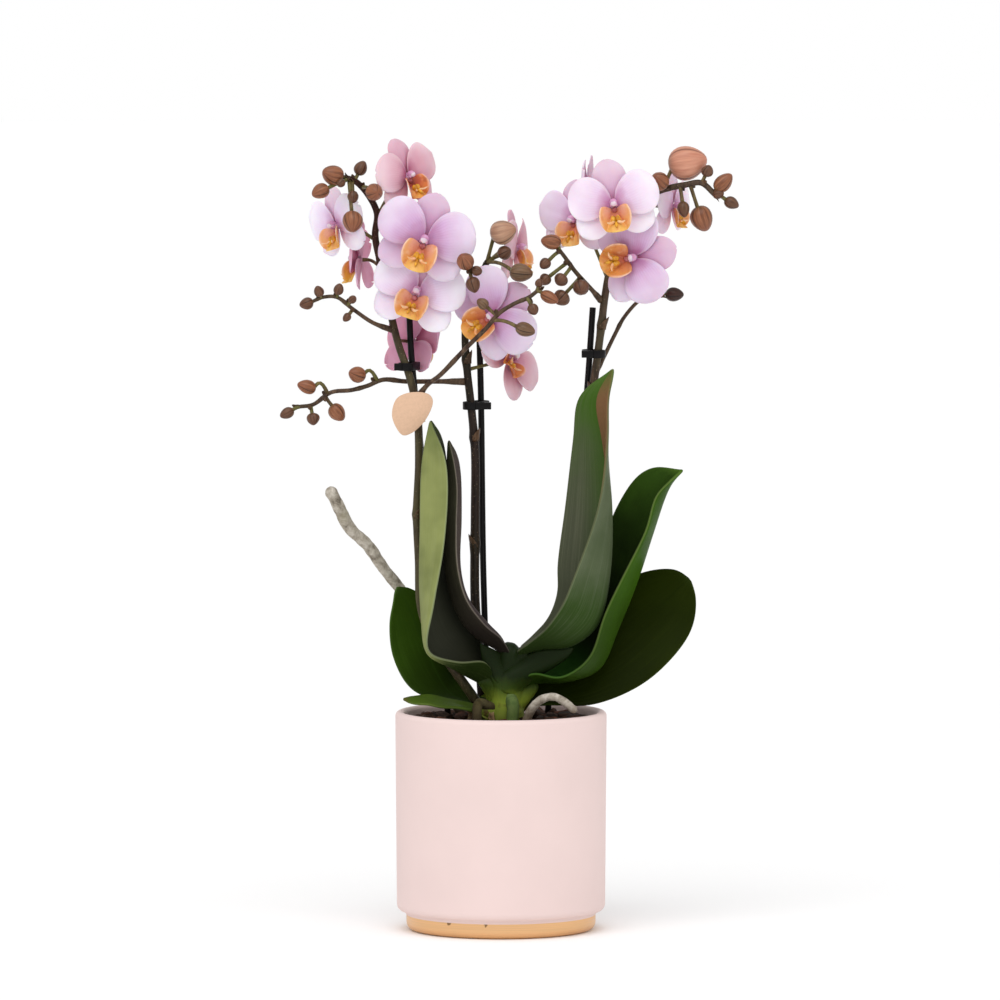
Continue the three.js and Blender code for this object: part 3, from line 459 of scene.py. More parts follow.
# Petal faces by tone: heart, middle, margin and rim colours, and how strong the rays are
PETAL_COLOURS = {
    "white": (("C084B0", "EAD4EE", "F8F0FC", "F6ECF4", 0.16),
              ("BC90AE", "E2C4DA", "EEDCE8", "EEE0E8", 0.16)),
    "light": (("BE80AA", "E6CAE4", "F5E8F4", "F3E8EE", 0.16),
              ("B88AA8", "DCBAD2", "E8D2E2", "EAD8E2", 0.18)),
    "pale": (("AE6E9A", "D4B0D6", "E6D6EA", "E8DCE8", 0.22),
             ("B07A9C", "CFA6C4", "DEC2D6", "E2CEDA", 0.2)),
    "deep": (("A04C76", "D08AAE", "E3AFCB", "E9C2D4", 0.25),
             ("A55C7C", "C886A2", "DAA4BE", "E0B6C8", 0.25)),
    # The warm tone is partly the blooms' own rosier colour and partly painted shade and backlight, browner as
    # their petals look in shadow
    "warm": (("A85878", "DAA6B6", "EACAD4", "EFDAE0", 0.22),
             ("A86A78", "D0A6AC", "E0BEC2", "E6CED2", 0.22)),
}

# The colour that the uppermost sepal of a bloom is mixed with as painted shade, as it lies behind the petals,
# and its share
SEPAL_SHADE = ("B87C9C", 0.4)

# Lip faces by tone: throat, inside, rim, callus and wing colours, first the inner face
LIP_COLOURS = {
    "gold": (("A8483C", "DE8458", "F0B034", "F8CC48", "E28E6A"),
             ("D27A5A", "E49A76", "EAA864", "E9B560", "E6A692")),
    "amber": (("9C3C24", "C66C34", "DC963A", "ECB444", "C66E44"),
              ("C06444", "D88850", "E0964E", "E09E4A", "D6865E")),
    "dark": (("6E150C", "A22C10", "D4662A", "CC6A24", "A8341A"),
             ("8A2A18", "B8482A", "DC8038", "E09A3C", "C05A34")),
}
# Lips that differ from the golden ones
LIP_TONES = {"bloom_01": "dark", "bloom_07": "amber", "bloom_09": "dark", "bloom_12": "amber"}
# How far the lip's wings stand up, bulge and curl in
LIP_RISE = 4.5
LIP_BULGE = 0.09
LIP_CURL = 0.16

# Stage
# The camera stands far off with a long lens, as the flat curves of the pot's rim and foot ask
CAMERA_PLACE = (-0.0005, -4.8, 0.5685)
CAMERA_TILT = 85.8
CAMERA_LENS = 346
FLOOR_RADIUS = 12
SUN_FROM = Vector((-0.12, -1.3, 2))
SUN_ANGLE = 50
KEY_PLACE = (-1.3, -1.5, 1.5)
KEY_SIZE = 1.1
FILL_PLACE = (1.7, -1.1, 0.9)
FILL_SIZE = 1.2
LIGHT_AIM = Vector((0, 0, 0.2))


# Plain helpers

def tint(text):
    """A colour in the renderer's linear values, from hexadecimal sRGB."""
    parts = [int(text[k:k + 2], 16) / 255 for k in (0, 2, 4)]
    return tuple(part / 12.92 if part <= 0.04045 else ((part + 0.055) / 1.055) ** 2.4 for part in parts)


def mixed(start, end, share):
    """The value or point at a share of the way from start to end."""
    return start + (end - start) * share


def bump_at(value, middle, width):
    """A smooth hill of height 1 round middle."""
    return math.exp(-((value - middle) / width) ** 2)


def curve_point(points, share):
    """The point at a share of a smooth curve through the points."""
    last = len(points) - 1
    place = share * last
    k = min(int(place), last - 1)
    w = place - k
    p1, p2 = points[k], points[k + 1]
    p0 = points[k - 1] if k > 0 else 2 * p1 - p2
    p3 = points[k + 2] if k + 2 <= last else 2 * p2 - p1
    gap0, gap1, gap2 = ((b - a).length ** 0.5 for a, b in ((p0, p1), (p1, p2), (p2, p3)))
    m1 = ((p1 - p0) / gap0 - (p2 - p0) / (gap0 + gap1) + (p2 - p1) / gap1) * gap1
    m2 = ((p2 - p1) / gap1 - (p3 - p1) / (gap1 + gap2) + (p3 - p2) / gap2) * gap1
    return p1 + m1 * w + (-3 * p1 + 3 * p2 - 2 * m1 - m2) * w ** 2 + (2 * p1 - 2 * p2 + m1 + m2) * w ** 3


def curve_through(route, steps):
    """Points along a smooth curve through a route, with so many steps for each of its stretches."""
    points = [Vector(point) for point in route]
    count = steps * (len(points) - 1)
    return [curve_point(points, k / count) for k in range(count + 1)]


def point_at_height(points, height):
    """The point of a list that is nearest to a height."""
    return min(points, key=lambda point: abs(point.z - height))


def turned_to(direction):
    """The turn that lays +Z along a direction."""
    return direction.to_track_quat("Z", "Y").to_matrix().to_4x4()


def new_shape():
    """An empty shape whose faces can hold the surface map."""
    bm = bmesh.new()
    bm.loops.layers.uv.new("surface")
    return bm


def paint(verts, index):
    """Gives all faces between the points one of the piece's materials."""
    for vert in verts:
        for face in vert.link_faces:
            face.material_index = index


def make_piece(name, bm, materials, nodes):
    """Shows a shape modelled in millimetres as a piece that stands for CAD nodes."""
    if not bm.faces:
        raise RuntimeError(f"{name} has no faces")
    bmesh.ops.scale(bm, vec=(MM, MM, MM), verts=bm.verts)
    mesh = bpy.data.meshes.new(name)
    bm.to_mesh(mesh)
    bm.free()
    mesh.shade_smooth()
    for material in materials:
        mesh.materials.append(material)
    piece = bpy.data.objects.new(name, mesh)
    bpy.context.scene.collection.objects.link(piece)
    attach(piece, BODY)
    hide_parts(*nodes)
    return piece


def thicken(piece, thickness):
    """Makes a sheet a blade with a face on each side, and rounds it."""
    wall = piece.modifiers.new("Thickness", "SOLIDIFY")
    wall.thickness = thickness * MM
    wall.offset = 0
    wall.material_offset = 1
    wall.use_even_offset = False
    refine(piece)


def refine(piece):
    """One step of subdivision, the same in the viewport and the render."""
    smooth = piece.modifiers.new("Roundness", "SUBSURF")
    smooth.levels = 1
    smooth.render_levels = 1


def bevel_sharp(bm, width):
    """Rounds the edges that turn sharply."""
    edges = [edge for edge in bm.edges if edge.is_manifold and edge.calc_face_angle() > SHARP_TURN]
    bmesh.ops.bevel(bm, geom=edges, offset=width, offset_type="OFFSET", segments=2, profile=0.5,
                    affect="EDGES", material=-1, clamp_overlap=True)


def turned(profile, steps):
    """A shape turned about the upright axis from points of radius and height."""
    bm = new_shape()
    verts = [bm.verts.new((radius, 0, height)) for radius, height in profile]
    edges = [bm.edges.new(pair) for pair in zip(verts, verts[1:])]
    bmesh.ops.spin(bm, geom=verts + edges, cent=(0, 0, 0), axis=(0, 0, 1), dvec=(0, 0, 0),
                   angle=math.tau, steps=steps, use_merge=True, use_duplicate=False)
    bmesh.ops.remove_doubles(bm, verts=bm.verts, dist=0.001)
    bmesh.ops.recalc_face_normals(bm, faces=bm.faces)
    return bm


def arc(radius, height, size, start, end, steps):
    """Points of a turn in a turned outline, with angles in degrees."""
    angles = [math.radians(mixed(start, end, k / steps)) for k in range(steps + 1)]
    return [(radius + size * math.cos(angle), height + size * math.sin(angle)) for angle in angles]


def tapered(radii, count):
    """So many radii, evenly from the first of a pair to the second."""
    return [mixed(*radii, k / (count - 1)) for k in range(count)]


def path_frames(centres):
    """A matrix for each centre whose Z runs along the path, without twist."""
    frames = []
    turn = (centres[1] - centres[0]).to_track_quat("Z", "Y")
    for k, centre in enumerate(centres):
        before = centres[max(k - 1, 0)]
        after = centres[min(k + 1, len(centres) - 1)]
        heading = turn @ Vector((0, 0, 1))
        turn = heading.rotation_difference(after - before) @ turn
        frames.append(Matrix.LocRotScale(centre, turn, None))
    return frames


def rounded_ends(centres, radii, start, end):
    """Adds rings to a path so that its ends are round where asked."""
    centres, radii = list(centres), list(radii)
    caps = ((0.35, 0.93), (0.7, 0.7), (0.94, 0.34))
    if end:
        ahead = (centres[-1] - centres[-2]).normalized()
        tip, radius = centres[-1], radii[-1]
        centres += [tip + ahead * radius * out for out, _ in caps]
        radii += [radius * share for _, share in caps]
    if start:
        behind = (centres[0] - centres[1]).normalized()
        tip, radius = centres[0], radii[0]
        centres = [tip + behind * radius * out for out, _ in reversed(caps)] + centres
        radii = [radius * share for _, share in reversed(caps)] + radii
    return centres, radii


def add_tube(bm, centres, radii, sides, round_start=False, round_end=False):
    """A closed round tube along the centres, with a radius for each."""
    centres, radii = rounded_ends(centres, radii, round_start, round_end)
    rings = [ring @ Matrix.Diagonal((radius, radius, 1, 1))
             for ring, radius in zip(path_frames(centres), radii)]
    ring = bmesh.ops.create_circle(bm, cap_ends=True, segments=sides, radius=1, matrix=rings[0])["verts"]
    edges = list(dict.fromkeys(edge for vert in ring for edge in vert.link_edges))
    made = list(ring)
    for before, after in zip(rings, rings[1:]):
        grown = bmesh.ops.extrude_edge_only(bm, edges=edges)["geom"]
        verts = [part for part in grown if isinstance(part, bmesh.types.BMVert)]
        edges = [part for part in grown if isinstance(part, bmesh.types.BMEdge)]
        bmesh.ops.transform(bm, matrix=after @ before.inverted(), verts=verts)
        made += verts
    bmesh.ops.edgeloop_fill(bm, edges=edges)
    return made


def add_ball(bm, matrix, around, rows):
    """A sphere of radius 1, placed by a matrix."""
    return bmesh.ops.create_uvsphere(bm, u_segments=around, v_segments=rows, radius=1, matrix=matrix,
                                     calc_uvs=True)["verts"]


def add_sheet(bm, across, along, point):
    """A grid of faces through point(u, v), with u from -1 to 1 and v from 0 to 1."""
    verts = bmesh.ops.create_grid(bm, x_segments=across, y_segments=along, size=1, calc_uvs=True)["verts"]
    for vert in verts:
        vert.co = point(vert.co.x, (vert.co.y + 1) / 2)
    return verts


def add_scale(bm, foot, along, outward, hug, length, width):
    """A small pointed scale that hugs a stem and stands off at its tip."""
    side = along.cross(outward).normalized()

    def point(u, v):
        half = width * (1 - v ** 1.6) + 0.1
        angle = u * half / hug
        off = hug + 0.15 + 0.9 * v * v
        ring = outward * math.cos(angle) + side * math.sin(angle)
        return foot + along * (length * v) + ring * off

    verts = add_sheet(bm, 4, 5, point)
    faces = list(dict.fromkeys(face for vert in verts for face in vert.link_faces))
    made = bmesh.ops.solidify(bm, geom=faces, thickness=0.45)["geom"]
    return verts + [part for part in made if isinstance(part, bmesh.types.BMVert)]


# Finishes

class Finish:
    """A material in the making, with short calls that add its nodes and wire them."""

    def __init__(self, name, **sockets):
        self.material = bpy.data.materials.new(name)
        self.material.use_nodes = True
        self.tree = self.material.node_tree
        self.shader = self.tree.nodes["Principled BSDF"]
        for socket, value in sockets.items():
            self.shader.inputs[socket.replace("_", " ")].default_value = value

    def feed(self, socket, value):
        """Links or sets one input."""
        if isinstance(value, bpy.types.NodeSocket):
            self.tree.links.new(value, socket)
        elif isinstance(value, tuple) and len(value) == 3 and socket.type == "RGBA":
            socket.default_value = (*value, 1)
        else:
            socket.default_value = value

    def node(self, kind, settings=None, **inputs):
        """Adds a node."""
        node = self.tree.nodes.new(kind)
        for key, value in (settings or {}).items():
            setattr(node, key, value)
        for key, value in inputs.items():
            self.feed(node.inputs[key.replace("_", " ")], value)
        return node

    def place(self):
        """The place on the object, in metres."""
        return self.node("ShaderNodeTexCoord").outputs["Object"]

    def surface(self):
        """The place across and along the surface map, each from 0 to 1."""
        parts = self.node("ShaderNodeSeparateXYZ",
                          Vector=self.node("ShaderNodeUVMap", {"uv_map": "surface"}).outputs["UV"])
        return parts.outputs["X"], parts.outputs["Y"]

    def height(self):
        """The height above the ground, in metres."""
        return self.node("ShaderNodeSeparateXYZ", Vector=self.place()).outputs["Z"]

    def math(self, operation, first, second=0.0):
        """One sum of two values."""
        node = self.node("ShaderNodeMath", {"operation": operation})
        self.feed(node.inputs[0], first)
        self.feed(node.inputs[1], second)
        return node.outputs["Value"]

    def span(self, value, low, high, start=0.0, end=1.0):
        """A value spread smoothly from one range to another."""
        node = self.node("ShaderNodeMapRange", {"interpolation_type": "SMOOTHSTEP"})
        for name, number in zip(("Value", "From Min", "From Max", "To Min", "To Max"),
                                (value, low, high, start, end)):
            self.feed(node.inputs[name], number)
        return node.outputs["Result"]

    def mix(self, share, first, second, blend="MIX"):
        """A colour between two."""
        node = self.node("ShaderNodeMix", {"data_type": "RGBA", "blend_type": blend})
        self.feed(node.inputs[0], share)
        self.feed(node.inputs[6], first)
        self.feed(node.inputs[7], second)
        return node.outputs[2]

    def ramp(self, value, *stops):
        """A colour from a scale of places and colours."""
        node = self.node("ShaderNodeValToRGB", Fac=value)
        scale = node.color_ramp.elements
        while len(scale) < len(stops):
            scale.new(0.5)
        for element, (place, colour) in zip(scale, stops):
            element.position = place
            element.color = (*colour, 1)
        return node.outputs["Color"]

    def noise(self, scale, detail=3.0, roughness=0.5, distortion=0.0, vector=None):
        """Soft random patches, from 0 to 1."""
        return self.node("ShaderNodeTexNoise", Vector=vector or self.place(), Scale=scale, Detail=detail,
                         Roughness=roughness, Distortion=distortion).outputs["Fac"]

    def stretched(self, scale, vector=None):
        """The place on the object, scaled unevenly."""
        node = self.node("ShaderNodeMapping", Vector=vector or self.place())
        node.inputs["Scale"].default_value = scale
        return node.outputs["Vector"]

    def specks(self, scale, size, vector=None):
        """Round specks, 1 inside and 0 outside."""
        cells = self.node("ShaderNodeTexVoronoi", Vector=vector or self.place(), Scale=scale)
        return self.span(cells.outputs["Distance"], size, size * 0.6)

    def bump(self, height, strength, distance):
        """Relief on the shader's normal, with its depth in millimetres."""
        node = self.node("ShaderNodeBump", Height=height, Strength=strength, Distance=distance * MM)
        self.feed(self.shader.inputs["Normal"], node.outputs["Normal"])

    def wear(self, colour=None, roughness=None):
        """Wires the colour and the roughness, and gives the finished material."""
        if colour is not None:
            self.feed(self.shader.inputs["Base Color"], colour)
        if roughness is not None:
            self.feed(self.shader.inputs["Roughness"], roughness)
        return self.material


def ceramic_finish(colour):
    """Matt ceramic with a very fine grain and faint clouds."""
    finish = Finish("matt ceramic", Specular_IOR_Level=0.35)
    darker = tuple(part * 0.97 for part in colour)
    clouds = finish.mix(finish.span(finish.noise(28, 4), 0.35, 0.7), colour, darker)
    grain = finish.noise(1500, 2)
    finish.bump(grain, 0.25, 0.05)
    return finish.wear(clouds, finish.span(grain, 0.3, 0.7, 0.58, 0.72))


def gilt_finish(colour):
    """Satin gilt brushed round the foot, with small places where it has come off."""
    finish = Finish("gilt foot", Metallic=0.85)
    brushed = finish.noise(60, 3, vector=finish.stretched((0.4, 0.4, 40)))
    tone = finish.mix(finish.span(brushed, 0.3, 0.7), tuple(part * 0.88 for part in colour), colour)
    lost = None
    for spot, size in GILT_CHIPS:
        apart = finish.node("ShaderNodeVectorMath", {"operation": "DISTANCE"})
        finish.feed(apart.inputs[0], finish.place())
        apart.inputs[1].default_value = [part * MM for part in spot]
        wobble = finish.math("MULTIPLY", finish.noise(900, 2), size * 2 * MM)
        chip = finish.span(apart.outputs["Value"], wobble, finish.math("MULTIPLY", wobble, 0.8))
        lost = chip if lost is None else finish.math("MAXIMUM", lost, chip)
    finish.bump(brushed, 0.2, 0.06)
    return finish.wear(finish.mix(lost, tone, tint("8A6A48")), finish.span(brushed, 0.3, 0.7, 0.3, 0.42))


def liner_finish():
    """Thin clear plastic."""
    finish = Finish("clear liner", Alpha=0.14, Specular_IOR_Level=0.5)
    scuffs = finish.noise(400, 3)
    return finish.wear(finish.mix(scuffs, tint("C9CFCC"), tint("E6EBE8")),
                       finish.span(scuffs, 0.4, 0.7, 0.08, 0.25))


def bark_finish(name, dark, light):
    """Layered bark, darker in its cracks, with pale scuffs."""
    finish = Finish(name, Specular_IOR_Level=0.25)
    layers = finish.noise(260, 5, 0.6, 0.6, finish.stretched((1, 1, 2.4)))
    colour = finish.mix(finish.span(layers, 0.32, 0.72), dark, light)
    scuffs = finish.span(finish.noise(520, 3), 0.62, 0.74)
    finish.bump(layers, 0.8, 0.7)
    return finish.wear(finish.mix(scuffs, colour, tint("6B4A36")), 0.9)


def crown_finish():
    """Smooth sheaths, yellow-green low down and dark green towards the leaves."""
    finish = Finish("crown sheaths", Specular_IOR_Level=0.08, Subsurface_Weight=0.06,
                    Subsurface_Scale=0.002)
    streaks = finish.noise(140, 4, 0.6, 0.3, finish.stretched((1, 1, 0.3)))
    rise = finish.math("ADD", finish.height(), finish.math("MULTIPLY", streaks, 0.008))
    level = finish.span(rise, 0.1, 0.15)
    colour = finish.ramp(level, (0.12, tint("66702A")), (0.32, tint("7C8C2E")), (0.54, tint("384A18")),
                         (0.72, tint("1A260E")))
    spots = finish.span(finish.noise(190, 3), 0.6, 0.7)
    low = finish.span(finish.height(), 0.119, 0.107)
    colour = finish.mix(finish.math("MULTIPLY", spots, low), colour, tint("4A3420"))
    finish.bump(streaks, 0.3, 0.3)
    return finish.wear(colour, 0.45)


def husk_finish():
    """Dry papery husk."""
    finish = Finish("dry husk")
    fibres = finish.noise(300, 4, 0.6, 0.2, finish.stretched((1, 1, 0.25)))
    finish.bump(fibres, 0.6, 0.3)
    return finish.wear(finish.ramp(fibres, (0.3, tint("4F3722")), (0.7, tint("A98B62"))), 0.85)


def leaf_finish(name, low, high, streak, margin, tip, keel):
    """A waxy leaf face with fine lengthwise streaks, a crease, a pale margin and a tip colour."""
    finish = Finish(name, Specular_IOR_Level=0.035)
    across, along = finish.surface()
    lines = finish.node("ShaderNodeCombineXYZ", X=finish.math("MULTIPLY", across, 84),
                        Y=finish.math("MULTIPLY", along, 2.6))
    fine = finish.noise(1, 5, 0.66, 0.15, lines.outputs["Vector"])
    drift = finish.math("MULTIPLY", finish.noise(30, 3), 0.3)
    turn_from, turn_to, keel_width = OTHER_BANDS.get(name, LEAF_BANDS)
    turn = finish.span(finish.math("ADD", along, drift), turn_from + 0.15, turn_to + 0.15)
    colour = finish.mix(turn, low, high)
    colour = finish.mix(finish.span(fine, 0.46, 0.72, 0, 0.5), colour, streak)
    colour = finish.mix(finish.span(finish.noise(34, 3), 0.35, 0.7, 0, 0.4), colour,
                        tuple(part * 0.7 for part in low))
    if name in LEAF_FEET:
        colour = finish.mix(finish.span(along, 0.4, 0.2, 0, 0.85), colour, tint(LEAF_FEET[name]))
    middle = finish.math("ABSOLUTE", finish.math("SUBTRACT", across, 0.5))
    colour = finish.mix(finish.span(middle, keel_width, 0.004, 0, 0.75), colour, keel)
    # Painted shade: the near half of the upper face turns brown towards the tip, where it lies in shadow
    if name in LEAF_FLAP_SHADES:
        flap_shade = finish.math("MULTIPLY", finish.span(across, 0.5, 0.54), finish.span(along, 0.6, 0.7))
        colour = finish.mix(flap_shade, colour, tint(LEAF_FLAP_SHADES[name]))
    rim = finish.span(middle, 0.486, 0.5, 0, 0.8)
    brim = finish.math("MULTIPLY", rim, finish.span(along, 0.2, 0.6, 0.4, 1))
    colour = finish.mix(brim, colour, margin)
    colour = finish.mix(finish.span(along, 0.86, 1.0, 0, 0.7), colour, tip)
    finish.bump(fine, 0.35, 0.25)
    return finish.wear(colour, finish.span(fine, 0.3, 0.7, 0.36, 0.5))


def root_finish(name, dark, middle, light, earthy):
    """Rough root skin with darker cracks, earthy where it leaves the bark."""
    finish = Finish(name, Specular_IOR_Level=0.15)
    patches = finish.noise(240, 6, 0.65, 0.4)
    colour = finish.ramp(patches, (0.28, dark), (0.46, middle), (0.72, light))
    tip = finish.span(finish.noise(60, 2), 0.55, 0.75, 0, 0.4)
    colour = finish.mix(tip, colour, tint("8F8A66"))
    colour = finish.mix(finish.span(finish.height(), 0.121, 0.109, 0, 0.85), colour, earthy)
    finish.bump(patches, 0.9, 0.8)
    return finish.wear(colour, 0.88)


def stem_finish(name, dark, light, green, upper=None):
    """A satin stem, streaked along its length, with tiny pale pores and its own colour higher up."""
    finish = Finish(name, Specular_IOR_Level=0.16)
    streaks = finish.noise(420, 4, 0.6, 0.2, finish.stretched((1, 1, 0.14)))
    patches = finish.span(finish.noise(38, 3), 0.42, 0.62)
    colour = finish.mix(finish.span(streaks, 0.3, 0.72), dark, light)
    colour = finish.mix(finish.math("MULTIPLY", patches, 0.5), colour, green)
    if upper is not None:
        high = finish.mix(finish.span(streaks, 0.3, 0.72), tuple(part * 0.5 for part in upper), upper)
        colour = finish.mix(finish.span(finish.height(), *BROWN_FROM), colour, high)
    pores = finish.specks(620, 0.22)
    finish.bump(streaks, 0.35, 0.25)
    return finish.wear(finish.mix(finish.math("MULTIPLY", pores, 0.35), colour, tint("8C7860")), 0.42)


def bud_finish(name, dark, light, blush):
    """A bud with lengthwise tones, three seams and a shaded foot."""
    finish = Finish(name, Specular_IOR_Level=0.3, Subsurface_Weight=0.06, Subsurface_Scale=0.002)
    across, along = finish.surface()
    lines = finish.node("ShaderNodeCombineXYZ", X=finish.math("MULTIPLY", across, 26),
                        Y=finish.math("MULTIPLY", along, 1.3))
    streaks = finish.noise(1, 3, 0.6, 0.2, lines.outputs["Vector"])
    colour = finish.mix(finish.span(streaks, 0.3, 0.7, 0.2, 1), dark, light)
    colour = finish.mix(finish.span(along, 0.45, 0.95, 0, 0.5), colour, blush)
    colour = finish.mix(finish.span(along, 0.3, 0.05, 0, 0.5), colour, tint("4C4526"))
    seam = finish.math("PINGPONG", finish.math("MULTIPLY", across, 3), 0.5)
    colour = finish.mix(finish.span(seam, 0.06, 0.015, 0, 0.8), colour, tuple(part * 0.35 for part in dark))
    finish.bump(streaks, 0.25, 0.2)
    return finish.wear(colour, 0.36)


def plastic_finish():
    """Black moulded plastic."""
    finish = Finish("black plastic", Specular_IOR_Level=0.16)
    grain = finish.noise(1300, 3)
    worn = finish.span(finish.noise(90, 3), 0.5, 0.8, 0, 0.4)
    finish.bump(grain, 0.15, 0.05)
    return finish.wear(finish.mix(worn, tint("0A0809"), tint("1A1617")),
                       finish.span(grain, 0.3, 0.7, 0.3, 0.42))


def card_finish(colour):
    """Bare printed card with a faint fibre."""
    finish = Finish("peach card", Specular_IOR_Level=0.3)
    fibre = finish.noise(800, 4, 0.6, 0.5)
    finish.bump(fibre, 0.2, 0.06)
    darker = tuple(part * 0.93 for part in colour)
    return finish.wear(finish.mix(finish.span(fibre, 0.35, 0.7), colour, darker), 0.62)


def petal_finish(name, heart, middle, margin, rim, vein):
    """A petal face: deep at its heart, paler outwards, with fine rays and a soft rim."""
    finish = Finish(name, Specular_IOR_Level=0.2, Subsurface_Weight=0.16, Subsurface_Scale=0.003)
    across, along = finish.surface()
    drift = finish.noise(150, 3, 0.55)
    reach = finish.math("ADD", along, finish.math("MULTIPLY", finish.math("SUBTRACT", drift, 0.5), 0.25))
    colour = finish.ramp(reach, (0.04, heart), (0.27, middle), (0.7, margin))
    edge = finish.math("ABSOLUTE", finish.math("SUBTRACT", across, 0.5))
    outer = finish.math("MAXIMUM", finish.span(edge, 0.3, 0.5), finish.span(along, 0.72, 1.0))
    colour = finish.mix(finish.math("MULTIPLY", outer, 0.4), colour, rim)
    rosy = tuple(mixed(first, second, 0.6) for first, second in zip(heart, middle))
    colour = finish.mix(finish.span(finish.noise(34, 2), 0.42, 0.7, 0, 0.5), colour, rosy)
    wander = finish.math("MULTIPLY", finish.noise(120, 2), 1.6)
    rays = finish.math("ADD", finish.math("MULTIPLY", across, 17), wander)
    ray = finish.span(finish.math("PINGPONG", rays, 0.5), 0.22, 0.02)
    fade = finish.span(along, 0.62, 0.06, 0, vein)
    colour = finish.mix(finish.math("MULTIPLY", ray, fade), colour, heart)
    pimples = finish.noise(1600, 2)
    finish.bump(pimples, 0.15, 0.08)
    return finish.wear(colour, 0.5)


def petal_finishes(tone):
    """The front and back of a tone's petals, and then those of its uppermost sepal, darkened with painted
    shade.
    """
    painted_shade, share = tint(SEPAL_SHADE[0]), SEPAL_SHADE[1]
    finishes = []
    for part in ("petal", "upper sepal"):
        for face, (*colours, vein) in zip(("front", "back"), PETAL_COLOURS[tone]):
            tints = [tint(colour) for colour in colours]
            # Painted shade on the uppermost sepal, which lies behind the petals
            if part == "upper sepal":
                tints = [tuple(mixed(*pair, share) for pair in zip(first, painted_shade)) for first in tints]
            finishes.append(petal_finish(f"{tone} {part} {face}", *tints, vein))
    return finishes


def lip_finish(name, throat, inside, rim, callus, spot):
    """A lip face: red in the throat, orange inside, golden at the rim, with specks."""
    finish = Finish(name, Specular_IOR_Level=0.5, Subsurface_Weight=0.12, Subsurface_Scale=0.002)
    across, along = finish.surface()
    drift = finish.math("MULTIPLY", finish.math("SUBTRACT", finish.noise(420, 3), 0.5), 0.4)
    reach = finish.math("ADD", along, drift)
    colour = finish.ramp(reach, (0.08, throat), (0.36, inside), (0.66, rim))
    middle = finish.math("ABSOLUTE", finish.math("SUBTRACT", across, 0.5))
    gold = finish.math("MULTIPLY", finish.span(middle, 0.24, 0.1), finish.span(reach, 0.2, 0.45))
    colour = finish.mix(gold, colour, callus)
    side = finish.math("MULTIPLY", finish.span(middle, 0.2, 0.42), finish.span(along, 0.95, 0.5))
    colour = finish.mix(finish.math("MULTIPLY", side, 0.7), colour, spot)
    fringe = finish.math("MULTIPLY", finish.span(middle, 0.2, 0.3), finish.span(along, 0.8, 1, 0, 0.55))
    colour = finish.mix(fringe, colour, tint("F6DCD0"))
    colour = finish.mix(finish.span(finish.noise(300, 3), 0.5, 0.7, 0, 0.45), colour, throat)
    colour = finish.mix(finish.span(finish.noise(230, 2), 0.58, 0.74, 0, 0.35), colour, tint("F6D2B0"))
    dots = finish.math("MULTIPLY", finish.specks(700, 0.3), finish.span(along, 0.75, 0.2))
    colour = finish.mix(finish.math("MULTIPLY", dots, 0.55), colour, throat)
    finish.bump(finish.noise(900, 3), 0.3, 0.2)
    return finish.wear(colour, 0.38)


def plain_flesh(name, colour, shade, gloss):
    """Soft flower flesh with faint clouds."""
    finish = Finish(name, Specular_IOR_Level=0.4, Subsurface_Weight=0.15, Subsurface_Scale=0.002)
    clouds = finish.noise(360, 3)
    finish.bump(clouds, 0.25, 0.15)
    return finish.wear(finish.mix(finish.span(clouds, 0.35, 0.68), colour, shade), gloss)


def floor_finish(colour):
    """Plain pale studio floor."""
    finish = Finish("studio floor", Specular_IOR_Level=0.1)
    return finish.wear(finish.mix(finish.noise(3, 2), colour, tuple(part * 0.99 for part in colour)), 0.9)


# Settings

class OrchidPotSettings(bpy.types.PropertyGroup):
    """Sizes and colours of the pot, the liner and the bark."""

    steps: bpy.props.IntProperty(
        name="Pot Facets", description="Steps round the pot and its liner", default=112, min=24, max=256)
    chips: bpy.props.IntProperty(
        name="Bark Chips", description="Number of loose chips on the bark", default=170, min=10, max=300)
    ceramic: bpy.props.FloatVectorProperty(
        name="Ceramic", description="Colour of the matt ceramic", subtype="COLOR", size=3, min=0, max=1,
        default=tint("E9D2CE"))
    gilt: bpy.props.FloatVectorProperty(
        name="Gilt", description="Colour of the gilt foot", subtype="COLOR", size=3, min=0, max=1,
        default=tint("EBBD8A"))


class OrchidLeafSettings(bpy.types.PropertyGroup):
    """How the leaves are made."""

    across: bpy.props.IntProperty(
        name="Faces Across", description="Faces across a leaf before rounding", default=20, min=4, max=60)
    along: bpy.props.IntProperty(
        name="Faces Along", description="Faces along a leaf before rounding", default=40, min=8, max=120)
    wave: bpy.props.FloatProperty(
        name="Wave", description="How far a leaf's edges wave", default=0.5 * MM, min=0, max=0.004,
        unit="LENGTH", subtype="DISTANCE", precision=5)


class OrchidBloomSettings(bpy.types.PropertyGroup):
    """How the blooms are made."""

    thickness: bpy.props.FloatProperty(
        name="Petal Thickness", description="Thickness of a petal", default=0.62 * MM, min=0.0002,
        max=0.002, unit="LENGTH", subtype="DISTANCE", precision=5)
    ruffle: bpy.props.FloatProperty(
        name="Ruffle", description="How far a petal's edge waves", default=0.6 * MM, min=0, max=0.003,
        unit="LENGTH", subtype="DISTANCE", precision=5)
    seed: bpy.props.IntProperty(
        name="Seed", description="Number that sets how the blooms differ", default=17, min=0, max=999)


class OrchidStemSettings(bpy.types.PropertyGroup):
    """How stems, buds and stakes are made."""

    sides: bpy.props.IntProperty(
        name="Stem Sides", description="Sides round a main stem", default=14, min=6, max=40)
    seed: bpy.props.IntProperty(
        name="Seed", description="Number that sets how the buds differ", default=5, min=0, max=999)


